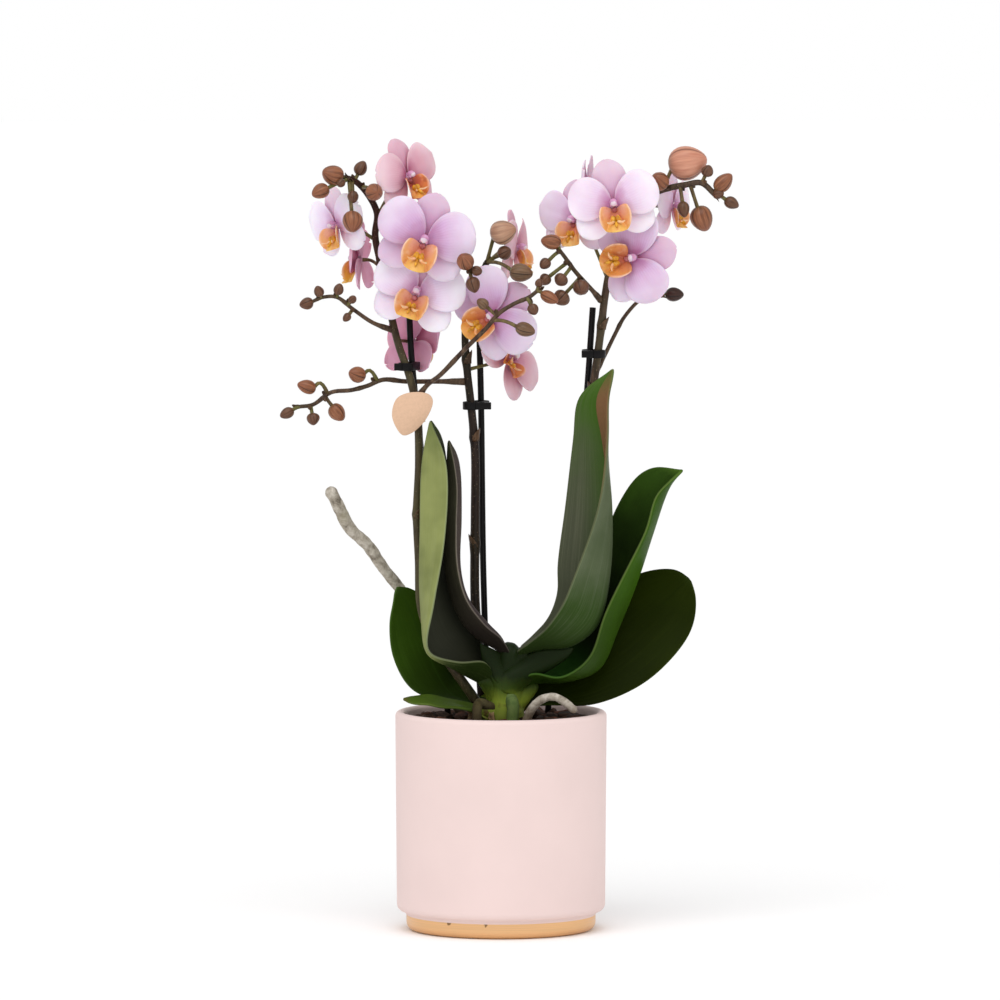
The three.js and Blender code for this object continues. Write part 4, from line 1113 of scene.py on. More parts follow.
class OrchidStageSettings(bpy.types.PropertyGroup):
    """Lights, floor and camera."""

    ambient: bpy.props.FloatProperty(
        name="Ambient", description="Strength of the light from all round", default=0.74, min=0, max=3)
    sun: bpy.props.FloatProperty(
        name="Sun", description="Strength of the broad light from the front", default=1.12, min=0, max=10)
    key: bpy.props.FloatProperty(
        name="Key Light", description="Power of the main soft light", default=3, min=0, max=500,
        unit="POWER", subtype="POWER")
    fill: bpy.props.FloatProperty(
        name="Fill Light", description="Power of the second soft light", default=2, min=0, max=500,
        unit="POWER", subtype="POWER")
    floor: bpy.props.FloatVectorProperty(
        name="Floor", description="Colour of the studio floor", subtype="COLOR", size=3, min=0, max=1,
        default=(0.985, 0.985, 0.985))


# Shapes of the plant

def leaf_shape(name, settings):
    """A leaf folded about its keel, with a round tip, a crease and a slight wave."""
    bm = new_shape()
    rails = [[Vector(station[k]) for station in LEAVES[name]] for k in range(3)]
    turn = -1 if name.startswith("leaf_right") else 1
    wave = settings.wave / MM
    phase = sum(map(ord, name)) % 7

    def point(u, v):
        u *= turn
        keel, near, far = (curve_point(rail, v) for rail in rails)
        reach = (math.hypot(u, CREASE_ROUNDING) - CREASE_ROUNDING) / (math.hypot(1, CREASE_ROUNDING)
                                                                      - CREASE_ROUNDING)
        fold = (near + far) / 2 - keel
        edge = near if u < 0 else far
        if v > LEAF_TIP:
            narrowing = ((v - LEAF_TIP) / (1 - LEAF_TIP)) ** 2
            edge = mixed(keel, edge, math.sqrt(max(1 - narrowing, 0.04)))
        spot = mixed(keel, edge, reach) + fold * (-KEEL_ROUNDING * 4 * reach * (1 - reach))
        ahead = curve_point(rails[0], min(v + KEEL_STEP, 1))
        behind = curve_point(rails[0], v - KEEL_STEP if v > 0.5 else v)
        lift = (edge - keel).normalized().cross(ahead - behind).normalized()
        swing = math.sin(v * 13 + phase + (2 if u < 0 else 0)) * reach ** 2 * math.sin(math.pi * v)
        return spot + lift * wave * swing

    add_sheet(bm, settings.across, settings.along, point)
    return bm


def lobe_width(shape, v):
    """Half the width of a petal or sepal along its length."""
    peak = shape["rise"] / (shape["rise"] + shape["fall"])
    most = peak ** shape["rise"] * (1 - peak) ** shape["fall"]
    claw = CLAW * (1 - v)
    return shape["width"] * (claw + (1 - claw) * v ** shape["rise"] * (1 - v) ** shape["fall"] / most)


def add_tepal(bm, kind, angle, pick, ruffle):
    """One petal or sepal in the bloom's plane, at an angle from its top."""
    shape = PETAL if kind == "petal" else SEPAL
    turn = math.radians(angle + pick.uniform(-3, 3))
    length = shape["length"] * pick.uniform(0.96, 1.02)
    width = pick.uniform(0.94, 1.03)
    arch = shape["arch"] + pick.uniform(-0.5, 0.6)
    curl = shape["curl"] + pick.uniform(-0.6, 1.2)
    bend = pick.uniform(-1.6, 0.8)
    phase = pick.uniform(0, math.tau)
    lean = pick.uniform(-0.8, 0.8)
    rippled = ruffle * (1 if kind == "petal" else 0.5)

    def point(u, share):
        v = 1 - (1 - 0.995 * share) ** 1.35
        out = shape["root"] + length * v
        side = u * lobe_width(shape, v) * width + lean * math.sin(math.pi * v)
        height = shape["level"] + arch * math.sin(math.pi * v) - curl * u * u * v + bend * v ** 3
        height += rippled * u * u * math.sin(v * 9 + phase + 1.7 * u) * v
        height -= 0.35 * bump_at(u, 0, 0.12) * math.sin(math.pi * min(v * 1.1, 1))
        return Vector((out * math.sin(turn) + side * math.cos(turn),
                       out * math.cos(turn) - side * math.sin(turn), height))

    return add_sheet(bm, 12, 14, point)


def add_lip(bm):
    """The lip: a trough under the column whose front is cut into a toothed lobe and two wings."""

    def point(u, v):
        lobe = abs(math.cos(1.5 * math.pi * u))
        middle = abs(u) < 1 / 3
        soft = lobe ** 0.7
        teeth = 0.35 * math.sin(u * 58) * v ** 4 * (lobe if middle else 0.4 * lobe)
        reach = LIP_REACH["notch"] + LIP_REACH["middle" if middle else "side"] * soft + teeth
        around = math.radians(LIP_WRAP) * u
        wing = max(0, abs(u) - 1 / 3)
        around *= 1 + LIP_BULGE * wing * math.sin(math.pi * v)
        radius = mixed(*LIP_RADII, v ** 0.85) * (1 - LIP_CURL * wing * v * v)
        up = LIP_UPTURN * v * v * lobe if middle else LIP_RISE * v * wing
        crease = (0.5 * bump_at(u, 0, 0.07) + 0.3 * math.sin(u * 31)) * math.sin(math.pi * v)
        return Vector((radius * math.sin(around) * (1 + LIP_FLARE * v * abs(u)),
                       LIP_ROOT[0] - (radius - crease) * math.cos(around) - LIP_DROOP * v + up,
                       LIP_ROOT[1] + reach * v))

    add_sheet(bm, 36, 12, point)


def add_column(bm):
    """The hub and the hooded column with its pollen cap."""
    paint(add_ball(bm, Matrix.Diagonal((HUB_RADIUS, HUB_RADIUS, HUB_BACK, 1)), 14, 8), 1)
    route = [Vector(spot) for spot in ((0, 0.2, 0), (0, 0.9, 2.2), (0, 1.4, 4.2), (0, 1.2, 5.6))]
    centres = [curve_point(route, k / 7) for k in range(8)]
    paint(add_tube(bm, centres, (2.1, 1.8, 1.7, 1.75, 1.9, 2.05, 2.1, 1.9), 14, round_end=True), 0)
    cap = Matrix.LocRotScale(Vector((0, 0.7, 6.2)), Matrix.Rotation(0.5, 3, "X"), Vector((1.75, 1.7, 1.35)))
    paint(add_ball(bm, cap, 14, 9), 2)
    for side in (-1, 1):
        wing = Matrix.LocRotScale(Vector((side * 1.4, 0.1, 4.6)), Matrix.Rotation(side * 0.3, 3, "Z"),
                                  Vector((0.7, 1.4, 1.7)))
        paint(add_ball(bm, wing, 10, 7), 0)


def add_callus(bm):
    """The lip's closed throat, its two-humped callus with a keel, and the small horns beside it."""
    throat = Matrix.LocRotScale(Vector((0, -3, 2.3)), Matrix.Rotation(0.5, 3, "X"), Vector((1.5, 1.6, 1.3)))
    paint(add_ball(bm, throat, 12, 8), 2)
    for side in (-1, 1):
        hump = Matrix.LocRotScale(Vector((side * 1.3, -7.9, 6)), Matrix.Rotation(-0.5, 3, "X"),
                                  Vector((1.5, 2.1, 1.9)))
        paint(add_ball(bm, hump, 12, 8), 0)
        route = [Vector((side * x, y, z)) for x, y, z in ((1.2, -9.4, 7), (3.1, -9.9, 9), (4.9, -9.2, 10.9))]
        centres = [curve_point(route, k / 6) for k in range(7)]
        paint(add_tube(bm, centres, (0.85, 0.85, 0.8, 0.7, 0.55, 0.4, 0.25), 9, round_end=True), 1)
    keel = Matrix.LocRotScale(Vector((0, -10.9, 8.6)), Matrix.Rotation(0.5, 3, "X"), Vector((0.9, 1.4, 2.8)))
    paint(add_ball(bm, keel, 10, 8), 0)


def bloom_turn(facing):
    """How a bloom is turned: its own +Z looks out, its +Y is up before the roll."""
    azimuth, elevation, roll = (math.radians(angle) for angle in facing)
    return (Matrix.Rotation(azimuth, 4, "Z") @ Matrix.Rotation(math.pi / 2 - elevation, 4, "X")
            @ Matrix.Rotation(-roll, 4, "Z"))


def bloom_matrix(bloom):
    """Where a bloom's shape stands."""
    _, at, facing, size, _, _ = bloom
    return Matrix.Translation(at) @ bloom_turn(facing) @ Matrix.Scale(size, 4)


def spike_paths(side):
    """Smooth paths of a spike's main stem and its branches."""
    spike = SPIKES[side]
    return [curve_through(spike["route"], 7)] + [curve_through(route, 6) for _, route in spike["branches"]]


def nearest_on(paths, place):
    """The point of the paths that is nearest to a place, and the way the stem runs there."""
    best = None
    for path in paths:
        for k, spot in enumerate(path):
            apart = (spot - place).length
            if best is None or apart < best[0]:
                best = (apart, spot, path[min(k + 1, len(path) - 1)] - path[max(k - 1, 0)])
    return best[1], best[2].normalized()


def add_stalk(bm, foot, run, centres, pick):
    """A flower stalk with a little collar and a scale at its foot."""
    count = len(centres)
    radii = [PEDICEL_RADIUS * (1 + 0.25 * bump_at(k, 0, 2) + 0.2 * bump_at(k, count - 1, 3))
             for k in range(count)]
    paint(add_tube(bm, centres, radii, 9), 1)
    away = (centres[2] - foot).normalized()
    outward = (away - run * away.dot(run)).normalized()
    shared = outward.dot(away)
    if abs(shared) < MOST_SHARED:
        back = -(outward - away * shared).normalized()
    else:
        back = run.cross(away).normalized()
    along = (run * 0.6 + away * 0.8).normalized()
    length = pick.uniform(2.4, 3.4)
    scale = add_scale(bm, foot - outward * 0.1, along, back, PEDICEL_RADIUS + 0.2, length, 1.5)
    paint(scale, 2)


def add_bud(bm, middle, heading, length, width, pick):
    """A bud: egg-shaped with a blunt beak, a fuller lower side and three seams."""
    verts = bmesh.ops.create_uvsphere(bm, u_segments=24, v_segments=14, radius=1, calc_uvs=True)["verts"]
    lean = pick.uniform(-0.12, 0.12)
    beak = pick.uniform(0.03, 0.1)
    for vert in verts:
        x, y, z = vert.co
        around = math.atan2(y, x)
        seam = (around * 3 / math.tau + 0.5) % 1 - 0.5
        groove = 1 - 0.06 * bump_at(seam, 0, 0.06) * (1 - z * z)
        girth = groove * (1.02 - 0.12 * z - 0.07 * max(z, 0) ** 2) * (1 + 0.05 * math.cos(around))
        vert.co = (x * girth + lean * z * z, y * girth, z + beak * max(z, 0) ** 4)
    grow = Matrix.Diagonal((width / 2, width / 2, length / 2, 1))
    spin = Matrix.Rotation(pick.uniform(0, math.tau), 4, "Z")
    bmesh.ops.transform(bm, matrix=Matrix.Translation(middle) @ turned_to(heading) @ spin @ grow, verts=verts)
    return verts


def spike_shapes(side, settings):
    """The stems of a spike with its stalks and scales, and its buds."""
    spike = SPIKES[side]
    stems, buds = new_shape(), new_shape()
    pick = random.Random(settings.seed + len(side))
    paths = spike_paths(side)
    thick, thin = spike["radii"]
    swell = [nearest_on(paths[:1], Vector(place))[0] for place in spike["joints"]]
    main = paths[0]
    radii = []
    for k, spot in enumerate(main):
        node = sum(bump_at((spot - place).length, 0, 2.6) for place in swell)
        radii.append(mixed(thick, thin, k / (len(main) - 1)) + 0.55 * node)
    paint(add_tube(stems, main, radii, settings.sides, round_end=True), 0)
    for path, (radius, _) in zip(paths[1:], spike["branches"]):
        count = len(path)
        radii = [radius * mixed(1, BRANCH_TAPER, k / (count - 1)) * (1 + 0.5 * bump_at(k, 0, 3))
                 + 0.18 * max(0, math.sin(k * math.pi / 6)) ** 8 for k in range(count)]
        paint(add_tube(stems, path, radii, 10, round_end=True), 3)
    for place in swell:
        spot, run = nearest_on(paths[:1], place)
        sideways = Vector((pick.choice((-1, 1)), -0.5, 0.1)).cross(run).cross(run)
        paint(add_scale(stems, spot - run * 1.5, run, -sideways.normalized(), thick, 6.5, 4.2), 2)
    for bloom in BLOOMS:
        if bloom[0] == side:
            _, at, facing, size, _, start = bloom
            outward = bloom_turn(facing).to_3x3() @ Vector((0, 0, 1))
            centre = Vector(at)
            foot, run = nearest_on(paths, Vector(start))
            behind = centre - outward * 6 * size
            route = (foot, mixed(foot, centre - outward * 9 * size, 0.6), behind,
                     centre - outward * (HUB_BACK * size * 0.8))
            add_stalk(stems, foot, run, curve_through(route, 5), pick)
    for bud in (*spike["buds"], *TIP_BUDS.get(side, ())):
        at, (length, width) = Vector(bud[0]), bud[1]
        foot, run = nearest_on(paths, Vector(bud[2]) if len(bud) > 2 else at)
        heading = Vector(BUD_HEADINGS.get(bud[0], at - foot)).normalized()
        bow = Vector((0, 0, pick.uniform(-0.05, 0.08) + BUD_BOWS.get(bud[0], 0))) * (at - foot).length
        centres = [mixed(foot, at - heading * length * 0.35, k / 6) + bow * math.sin(math.pi * k / 6)
                   for k in range(7)]
        add_stalk(stems, foot, run, centres, pick)
        tone = BUD_TONES.get(bud[0], "bronze" if length > BRONZE_LENGTH else "young")
        paint(add_bud(buds, at, heading, length, width, pick), list(BUD_COLOURS).index(tone))
    for bm in (stems, buds):
        bmesh.ops.recalc_face_normals(bm, faces=bm.faces)
    return stems, buds


def stake_path(side):
    """The path of a stake, from inside the bark to its tip."""
    x, y, _ = STAKES[side][0]
    return curve_through(((x, y, STAKE_FOOT), *STAKES[side]), 8)


def clip_shape(side):
    """A moulded loop round a spike and its stake, with its tail."""
    height, tail = CLIPS[side]
    on_spike = point_at_height(spike_paths(side)[0], height)
    on_stake = point_at_height(stake_path(side), height)
    apart = Vector((on_stake.x - on_spike.x, on_stake.y - on_spike.y, 0))
    radius = SPIKES[side]["radii"][0] + CLIP_ROOM
    inner = radius - CLIP_WALL
    bm = turned([(inner, 0), (radius, 0), (radius, CLIP_HEIGHT), (inner, CLIP_HEIGHT), (inner, 0)], 34)
    bmesh.ops.translate(bm, vec=(apart.length, 0, 0), verts=[vert for vert in bm.verts if vert.co.x > 0])
    waist = Matrix.Translation((apart.length / 2, 0, CLIP_HEIGHT / 2))
    bmesh.ops.create_cube(bm, size=1, matrix=waist @ Matrix.Diagonal((0.9, radius * 2, 2.2, 1)))
    turn = Matrix.Rotation(math.atan2(apart.y, apart.x), 4, "Z")
    seat = Matrix.Translation((on_spike.x, on_spike.y, height - CLIP_HEIGHT / 2))
    bmesh.ops.transform(bm, matrix=seat @ turn, verts=bm.verts)
    tongue = Matrix.Translation((on_spike.x + tail / 2 + math.copysign(radius / 2, tail),
                                 on_spike.y - radius / 2, height))
    bmesh.ops.create_cube(bm, size=1, matrix=tongue @ Matrix.Diagonal((abs(tail), CLIP_TAIL, CLIP_TAIL, 1)))
    bmesh.ops.recalc_face_normals(bm, faces=bm.faces)
    bevel_sharp(bm, 0.35)
    return bm


def tag_shape():
    """The egg-shaped card, with the band that hugs the left spike."""
    bm = new_shape()
    corners = [Vector((x, 0, z)) for x, z in TAG_OUTLINE]
    loop = corners[-2:] + corners + corners[:3]
    count = 72
    card = bmesh.ops.create_circle(bm, cap_ends=True, segments=count, radius=1)["verts"]
    first, last = 2 / (len(loop) - 1), (2 + len(corners)) / (len(loop) - 1)
    for k, vert in enumerate(card):
        vert.co = curve_point(loop, mixed(first, last, k / count))
    raised = bmesh.ops.extrude_face_region(bm, geom=list(bm.faces))["geom"]
    bmesh.ops.translate(bm, vec=(0, -TAG_THICKNESS, 0),
                        verts=[vert for vert in raised if isinstance(vert, bmesh.types.BMVert)])
    bmesh.ops.translate(bm, vec=TAG_PLACE, verts=bm.verts)
    middle = point_at_height(spike_paths("left")[0], TAG_PLACE[2] - TAG_RING_DROP)
    half = TAG_RING_HEIGHT / 2
    inner, outer = TAG_RING_RADIUS - TAG_RING_WALL / 2, TAG_RING_RADIUS + TAG_RING_WALL / 2
    wall = ((inner, -half), (outer, -half), (outer, half), (inner, half))
    verts = [bm.verts.new((radius, 0, height)) for radius, height in wall]
    band = bm.faces.new(verts)
    swept = bmesh.ops.spin(bm, geom=[band], cent=(0, 0, 0), axis=(0, 0, 1), dvec=(0, 0, 0),
                           angle=math.radians(360 - TAG_RING_MOUTH), steps=40, use_duplicate=False)
    ring = [vert for vert in bm.verts if abs(vert.co.z) <= half + 0.01 and vert.co.xy.length < 5]
    turn = Matrix.Rotation(math.radians(90 + TAG_RING_MOUTH / 2), 4, "Z")
    bmesh.ops.transform(bm, matrix=Matrix.Translation(middle) @ turn, verts=ring)
    if not swept["geom_last"]:
        raise RuntimeError("the tag's band was not made")
    bmesh.ops.recalc_face_normals(bm, faces=bm.faces)
    bevel_sharp(bm, 0.18)
    return bm


def liner_radius(height):
    """Outer radius of the liner at a height."""
    return mixed(LINER_BOTTOM_RADIUS, LINER_TOP_RADIUS, (height - LINER_FLOOR) / (LINER_TOP - LINER_FLOOR))


def add_chip(bm, place, size, turn, seed, index):
    """A flake of bark with broken edges."""
    chip = new_shape()
    bmesh.ops.create_cube(chip, size=1)
    bmesh.ops.subdivide_edges(chip, edges=list(chip.edges), cuts=2, use_grid_fill=True)
    shift = Vector((seed * 3.7, seed * 1.3, seed * 2.1))
    noise.seed_set(NOISE_SEED)
    for vert in chip.verts:
        spot = vert.co
        worn = 1 - 0.35 * max(0, abs(spot.x) + abs(spot.y) + abs(spot.z) - 1.05)
        body = Vector((spot.x * size[0], spot.y * size[1], spot.z * size[2])) * worn
        vert.co = body + noise.noise_vector(body * 0.28 + shift) * CHIP_LUMP
    bmesh.ops.transform(chip, matrix=Matrix.Translation(place) @ turn, verts=chip.verts)
    for vert in chip.verts:
        beyond = vert.co.xy.length / (liner_radius(BARK_LEVEL) - LINER_WALL - BARK_GAP)
        if beyond > 1:
            vert.co.xy /= beyond
    over = max(vert.co.z for vert in chip.verts) - BARK_TOP + 0.2
    bmesh.ops.translate(chip, vec=(0, 0, min(-over, 0)), verts=chip.verts)
    paint(chip.verts, index)
    mesh = bpy.data.meshes.new("chip")
    chip.to_mesh(mesh)
    chip.free()
    bm.from_mesh(mesh)
    bpy.data.meshes.remove(mesh)


def bark_shape(settings):
    """The plug of bark and the loose chips on it."""
    foot = LINER_FLOOR + LINER_WALL + BARK_GAP / 2
    inside = liner_radius(BARK_LEVEL) - LINER_WALL - BARK_GAP
    low = liner_radius(foot) - LINER_WALL - BARK_GAP
    bm = turned([(0, foot), (low, foot), (inside, BARK_LEVEL - 2), (0, BARK_LEVEL - 1)], 64)
    pick = random.Random(71)
    golden = math.pi * (3 - math.sqrt(5))
    for k in range(settings.chips):
        share = (k + 0.5) / settings.chips
        size = (pick.uniform(8, 15), pick.uniform(5, 8.5), pick.uniform(2.4, 4.4))
        distance = (inside - CHIP_ROOM) * math.sqrt(share)
        place = Vector((distance * math.cos(k * golden), distance * math.sin(k * golden),
                        BARK_LEVEL + pick.uniform(-1.5, 5) + 4 * share ** 2))
        turn = Matrix.Rotation(pick.uniform(0, math.tau), 4, "Z")
        turn = turn @ Matrix.Rotation(pick.uniform(-0.4, 0.4), 4, "X")
        turn = turn @ Matrix.Rotation(pick.uniform(-0.4, 0.4), 4, "Y")
        add_chip(bm, place, size, turn, k, pick.choice((0, 0, 1)))
    bmesh.ops.recalc_face_normals(bm, faces=bm.faces)
    return bm


def remeshed(bm, size):
    """One closed skin over a shape made of overlapping solids."""
    mesh = bpy.data.meshes.new("rough")
    bm.to_mesh(mesh)
    bm.free()
    rough = bpy.data.objects.new("rough", mesh)
    bpy.context.scene.collection.objects.link(rough)
    skin = rough.modifiers.new("Skin", "REMESH")
    skin.mode = "VOXEL"
    skin.voxel_size = size
    whole = rough.evaluated_get(bpy.context.evaluated_depsgraph_get()).to_mesh()
    out = new_shape()
    out.from_mesh(whole)
    bpy.data.objects.remove(rough)
    bpy.data.meshes.remove(mesh)
    return out


def crown_core():
    """The trunk with its side shoots as one skin."""
    bm = new_shape()
    shoots = [part for part in CROWN_PARTS if part not in CROWN_PARTS[CROWN_ROOTS]]
    for radii, route in (CROWN_TRUNK, *shoots):
        centres = curve_through(route, 6)
        add_tube(bm, centres, tapered(radii, len(centres)), 18, True, True)
    bmesh.ops.recalc_face_normals(bm, faces=bm.faces)
    bm = remeshed(bm, CROWN_VOXEL)
    for _ in range(4):
        bmesh.ops.smooth_vert(bm, verts=bm.verts, factor=0.5, use_axis_x=True, use_axis_y=True,
                              use_axis_z=True)
    return bm


def crown_sheaths():
    """The folded sheath that runs from round the trunk into each leaf's base or under its keel."""
    bm = new_shape()
    for name, foot_height, radius, reach_round, station in SHEATHS:
        rails = [[Vector(spot[k]) for spot in LEAVES[name]] for k in range(3)]
        last = len(rails[0]) - 1
        end = curve_point(rails[0], station / last)
        ahead = (rails[0][1] - rails[0][0]).normalized() * SHEATH_TUCK
        share = SHEATH_SHARE if station else 1
        heading = math.atan2(end.y - TRUNK_AXIS[1], end.x - TRUNK_AXIS[0])
        turn = 1 if math.cos(heading) < 0 else -1

        def point(u, v):
            angle = heading - turn * u * math.radians(reach_round)
            hem = SHEATH_HEM * (rails[0][0].z - foot_height) * u * u
            foot = Vector((TRUNK_AXIS[0] + radius * math.cos(angle), TRUNK_AXIS[1] + radius * math.sin(angle),
                           foot_height + hem))
            reach = (math.hypot(u, CREASE_ROUNDING) - CREASE_ROUNDING) / (1 - CREASE_ROUNDING)
            keel, near, far = (curve_point(rail, station * (1 - abs(u)) / last) for rail in rails)
            under = (keel - (near + far) / 2).normalized() * SHEATH_DROP
            top = mixed(keel, near if u < 0 else far, reach * share) + (under if station else ahead)
            ease = v * v * (3 - 2 * v)
            spot = mixed(foot, top, ease)
            spot.z = mixed(foot.z, top.z, v)
            return spot

        add_sheet(bm, 20, 12, point)
    return bm


def roughen(verts):
    """Gives a root's skin its small lumps."""
    noise.seed_set(NOISE_SEED)
    for vert in verts:
        vert.co += noise.noise_vector(vert.co * 0.45) * ROOT_LUMP


def crown_roots():
    """The stubs of roots that grow down from the crown into the bark."""
    bm = new_shape()
    for index, (radii, route) in enumerate(CROWN_PARTS[CROWN_ROOTS]):
        centres = curve_through(route, 8)
        verts = add_tube(bm, centres, tapered(radii, len(centres)), 18, True, True)
        paint(verts, index)
        roughen(verts)
    bmesh.ops.recalc_face_normals(bm, faces=bm.faces)
    return bm


def husk_shape():
    """Dry husks round the foot of the crown."""
    bm = new_shape()
    for k, (x, y, z, width, height, heading) in enumerate(HUSKS):
        turn = Matrix.Translation((x, y, z)) @ Matrix.Rotation(math.radians(heading), 4, "Z")

        def point(u, v):
            half = width * (1 - 0.7 * v) * (1 + 0.2 * math.sin(5 * v + k))
            bow = 1.4 * (1 - u * u) + 0.5 * math.sin(7 * v + 3 * u + k)
            return turn @ Vector((half * u, -bow - 1.8 * v, height * v + 0.6 * math.sin(6 * u + k)))

        add_sheet(bm, 8, 8, point)
    bmesh.ops.solidify(bm, geom=list(bm.faces), thickness=0.5)
    bmesh.ops.recalc_face_normals(bm, faces=bm.faces)
    return bm


def root_shape(name):
    """A thick root with a lumpy skin."""
    radii, route = ROOTS[name]
    bm = new_shape()
    centres = curve_through(route, 9)
    girths = [radius * (1 + 0.1 * noise.noise(centre * 0.22))
              for radius, centre in zip(tapered(radii, len(centres)), centres)]
    roughen(add_tube(bm, centres, girths, 18, True, True))
    bmesh.ops.recalc_face_normals(bm, faces=bm.faces)
    return bm


# Operators

class ORCHID_OT_add_stage(bpy.types.Operator):
    """Adds the camera, the floor and the lights"""

    bl_idname = "orchid.add_stage"
    bl_label = "Add Stage"

    def execute(self, context):
        settings = context.scene.orchid_stage
        lens = bpy.data.cameras.new("camera")
        lens.lens = CAMERA_LENS
        lens.clip_end = 100
        camera = bpy.data.objects.new("camera", lens)
        camera.location = CAMERA_PLACE
        camera.rotation_euler = (math.radians(CAMERA_TILT), 0, 0)
        context.scene.collection.objects.link(camera)
        context.scene.camera = camera

        bm = bmesh.new()
        bmesh.ops.create_circle(bm, cap_ends=True, segments=96, radius=FLOOR_RADIUS)
        mesh = bpy.data.meshes.new("floor")
        bm.to_mesh(mesh)
        bm.free()
        mesh.materials.append(floor_finish(tuple(settings.floor)))
        floor = bpy.data.objects.new("floor", mesh)
        context.scene.collection.objects.link(floor)

        for name, place, size, power in (("key", KEY_PLACE, KEY_SIZE, settings.key),
                                         ("fill", FILL_PLACE, FILL_SIZE, settings.fill)):
            light = bpy.data.lights.new(name, "AREA")
            light.shape = "SQUARE"
            light.size = size
            light.energy = power
            lamp = bpy.data.objects.new(name, light)
            lamp.location = place
            lamp.rotation_euler = (LIGHT_AIM - Vector(place)).to_track_quat("-Z", "Y").to_euler()
            context.scene.collection.objects.link(lamp)

        light = bpy.data.lights.new("sun", "SUN")
        light.energy = settings.sun
        light.angle = math.radians(SUN_ANGLE)
        lamp = bpy.data.objects.new("sun", light)
        lamp.rotation_euler = (-SUN_FROM).to_track_quat("-Z", "Y").to_euler()
        context.scene.collection.objects.link(lamp)

        world = bpy.data.worlds.new("studio")
        world.use_nodes = True
        context.scene.world = world
        tree = world.node_tree
        sky = tree.nodes["Background"]
        sky.inputs["Color"].default_value = (1, 1, 1, 1)
        path = tree.nodes.new("ShaderNodeLightPath")
        strength = tree.nodes.new("ShaderNodeMapRange")
        tree.links.new(path.outputs["Is Camera Ray"], strength.inputs["Value"])
        strength.inputs["To Min"].default_value = settings.ambient
        strength.inputs["To Max"].default_value = 1
        tree.links.new(strength.outputs["Result"], sky.inputs["Strength"])
        context.scene.view_settings.view_transform = "Standard"
        return {"FINISHED"}


class ORCHID_OT_add_pot(bpy.types.Operator):
    """Adds the ceramic pot with its gilt foot, and the clear liner in it"""

    bl_idname = "orchid.add_pot"
    bl_label = "Add Pot"

    def execute(self, context):
        settings = context.scene.orchid_pot
        inner = POT_RIM_RADIUS - POT_WALL
        lip = POT_WALL / 2
        recess, hollow = FOOT_RECESS
        pot = turned([
            (0, hollow), (recess - 1, hollow), (recess, 0),
            *arc(FOOT_RADIUS - FOOT_ROUND, FOOT_ROUND, FOOT_ROUND, -90, 0, 6),
            (FOOT_RADIUS, FOOT_HEIGHT - 0.3), (FOOT_RADIUS, FOOT_HEIGHT),
            *arc(POT_LOWER_RADIUS - POT_CORNER, FOOT_HEIGHT + POT_CORNER, POT_CORNER, -90, 0, 8),
            (POT_LOWER_RADIUS + 0.2, FOOT_HEIGHT + 30), (POT_RIM_RADIUS - 0.2, POT_HEIGHT - 30),
            *arc(inner + lip, POT_HEIGHT - lip, lip, 0, 180, 12),
            (inner - 0.5, POT_FLOOR + 3), (inner - 3.5, POT_FLOOR), (0, POT_FLOOR),
        ], settings.steps)
        for face in pot.faces:
            outside = face.calc_center_median().z < FOOT_HEIGHT - 0.01 and face.normal.z < 0.5
            face.material_index = 1 if outside else 0
        finishes = [ceramic_finish(tuple(settings.ceramic)), gilt_finish(tuple(settings.gilt))]
        make_piece("pink_pot", pot, finishes, ["pot"])

        lip_foot = LINER_TOP - LINER_LIP_HEIGHT
        outer = LINER_TOP_RADIUS + LINER_LIP
        liner = turned([
            (0, LINER_FLOOR), (LINER_BOTTOM_RADIUS, LINER_FLOOR), (liner_radius(lip_foot), lip_foot),
            (outer, lip_foot), *arc(outer - 0.5, LINER_TOP - 0.5, 0.5, 0, 90, 3),
            *arc(LINER_TOP_RADIUS - LINER_WALL + 0.4, LINER_TOP - 0.4, 0.4, 90, 180, 3),
            (LINER_BOTTOM_RADIUS - LINER_WALL, LINER_FLOOR + LINER_WALL), (0, LINER_FLOOR + LINER_WALL),
        ], settings.steps)
        make_piece("clear_liner", liner, [liner_finish()], ["grow_pot"])
        return {"FINISHED"}


class ORCHID_OT_add_bark(bpy.types.Operator):
    """Adds the bark with its loose chips"""

    bl_idname = "orchid.add_bark"
    bl_label = "Add Bark"

    def execute(self, context):
        finishes = [bark_finish("dark bark", tint("1C120D"), tint("4A2F21")),
                    bark_finish("red bark", tint("2C170F"), tint("6E4230"))]
        make_piece("bark_chips", bark_shape(context.scene.orchid_pot), finishes, ["bark"])
        return {"FINISHED"}


class ORCHID_OT_add_crown(bpy.types.Operator):
    """Adds the crown with its sheaths and husks"""

    bl_idname = "orchid.add_crown"
    bl_label = "Add Crown"

    def execute(self, context):
        finish = crown_finish()
        make_piece("crown_core", crown_core(), [finish], ["crown"])
        sheaths = make_piece("crown_sheaths", crown_sheaths(), [finish], ["crown"])
        thicken(sheaths, SHEATH_THICKNESS)
        mossy = root_finish("green root", tint("38451E"), tint("54683A"), tint("6E8048"), tint("4A5A2A"))
        earthy = root_finish("earthy root", tint("2E2A18"), tint("4A4228"), tint("625A38"), tint("3A3020"))
        make_piece("crown_roots", crown_roots(), [mossy, earthy], ["crown"])
        make_piece("crown_husks", husk_shape(), [husk_finish()], ["crown"])
        return {"FINISHED"}


class ORCHID_OT_add_leaves(bpy.types.Operator):
    """Adds the seven leaves"""

    bl_idname = "orchid.add_leaves"
    bl_label = "Add Leaves"

    def execute(self, context):
        settings = context.scene.orchid_leaf
        for name, (upper, under) in LEAF_COLOURS.items():
            finishes = [leaf_finish(f"{name} {face}", *map(tint, colours))
                        for face, colours in (("upper", upper), ("under", under))]
            blade = make_piece(f"{name}_blade", leaf_shape(name, settings), finishes, [name])
            thicken(blade, LEAF_THICKNESS)
        return {"FINISHED"}


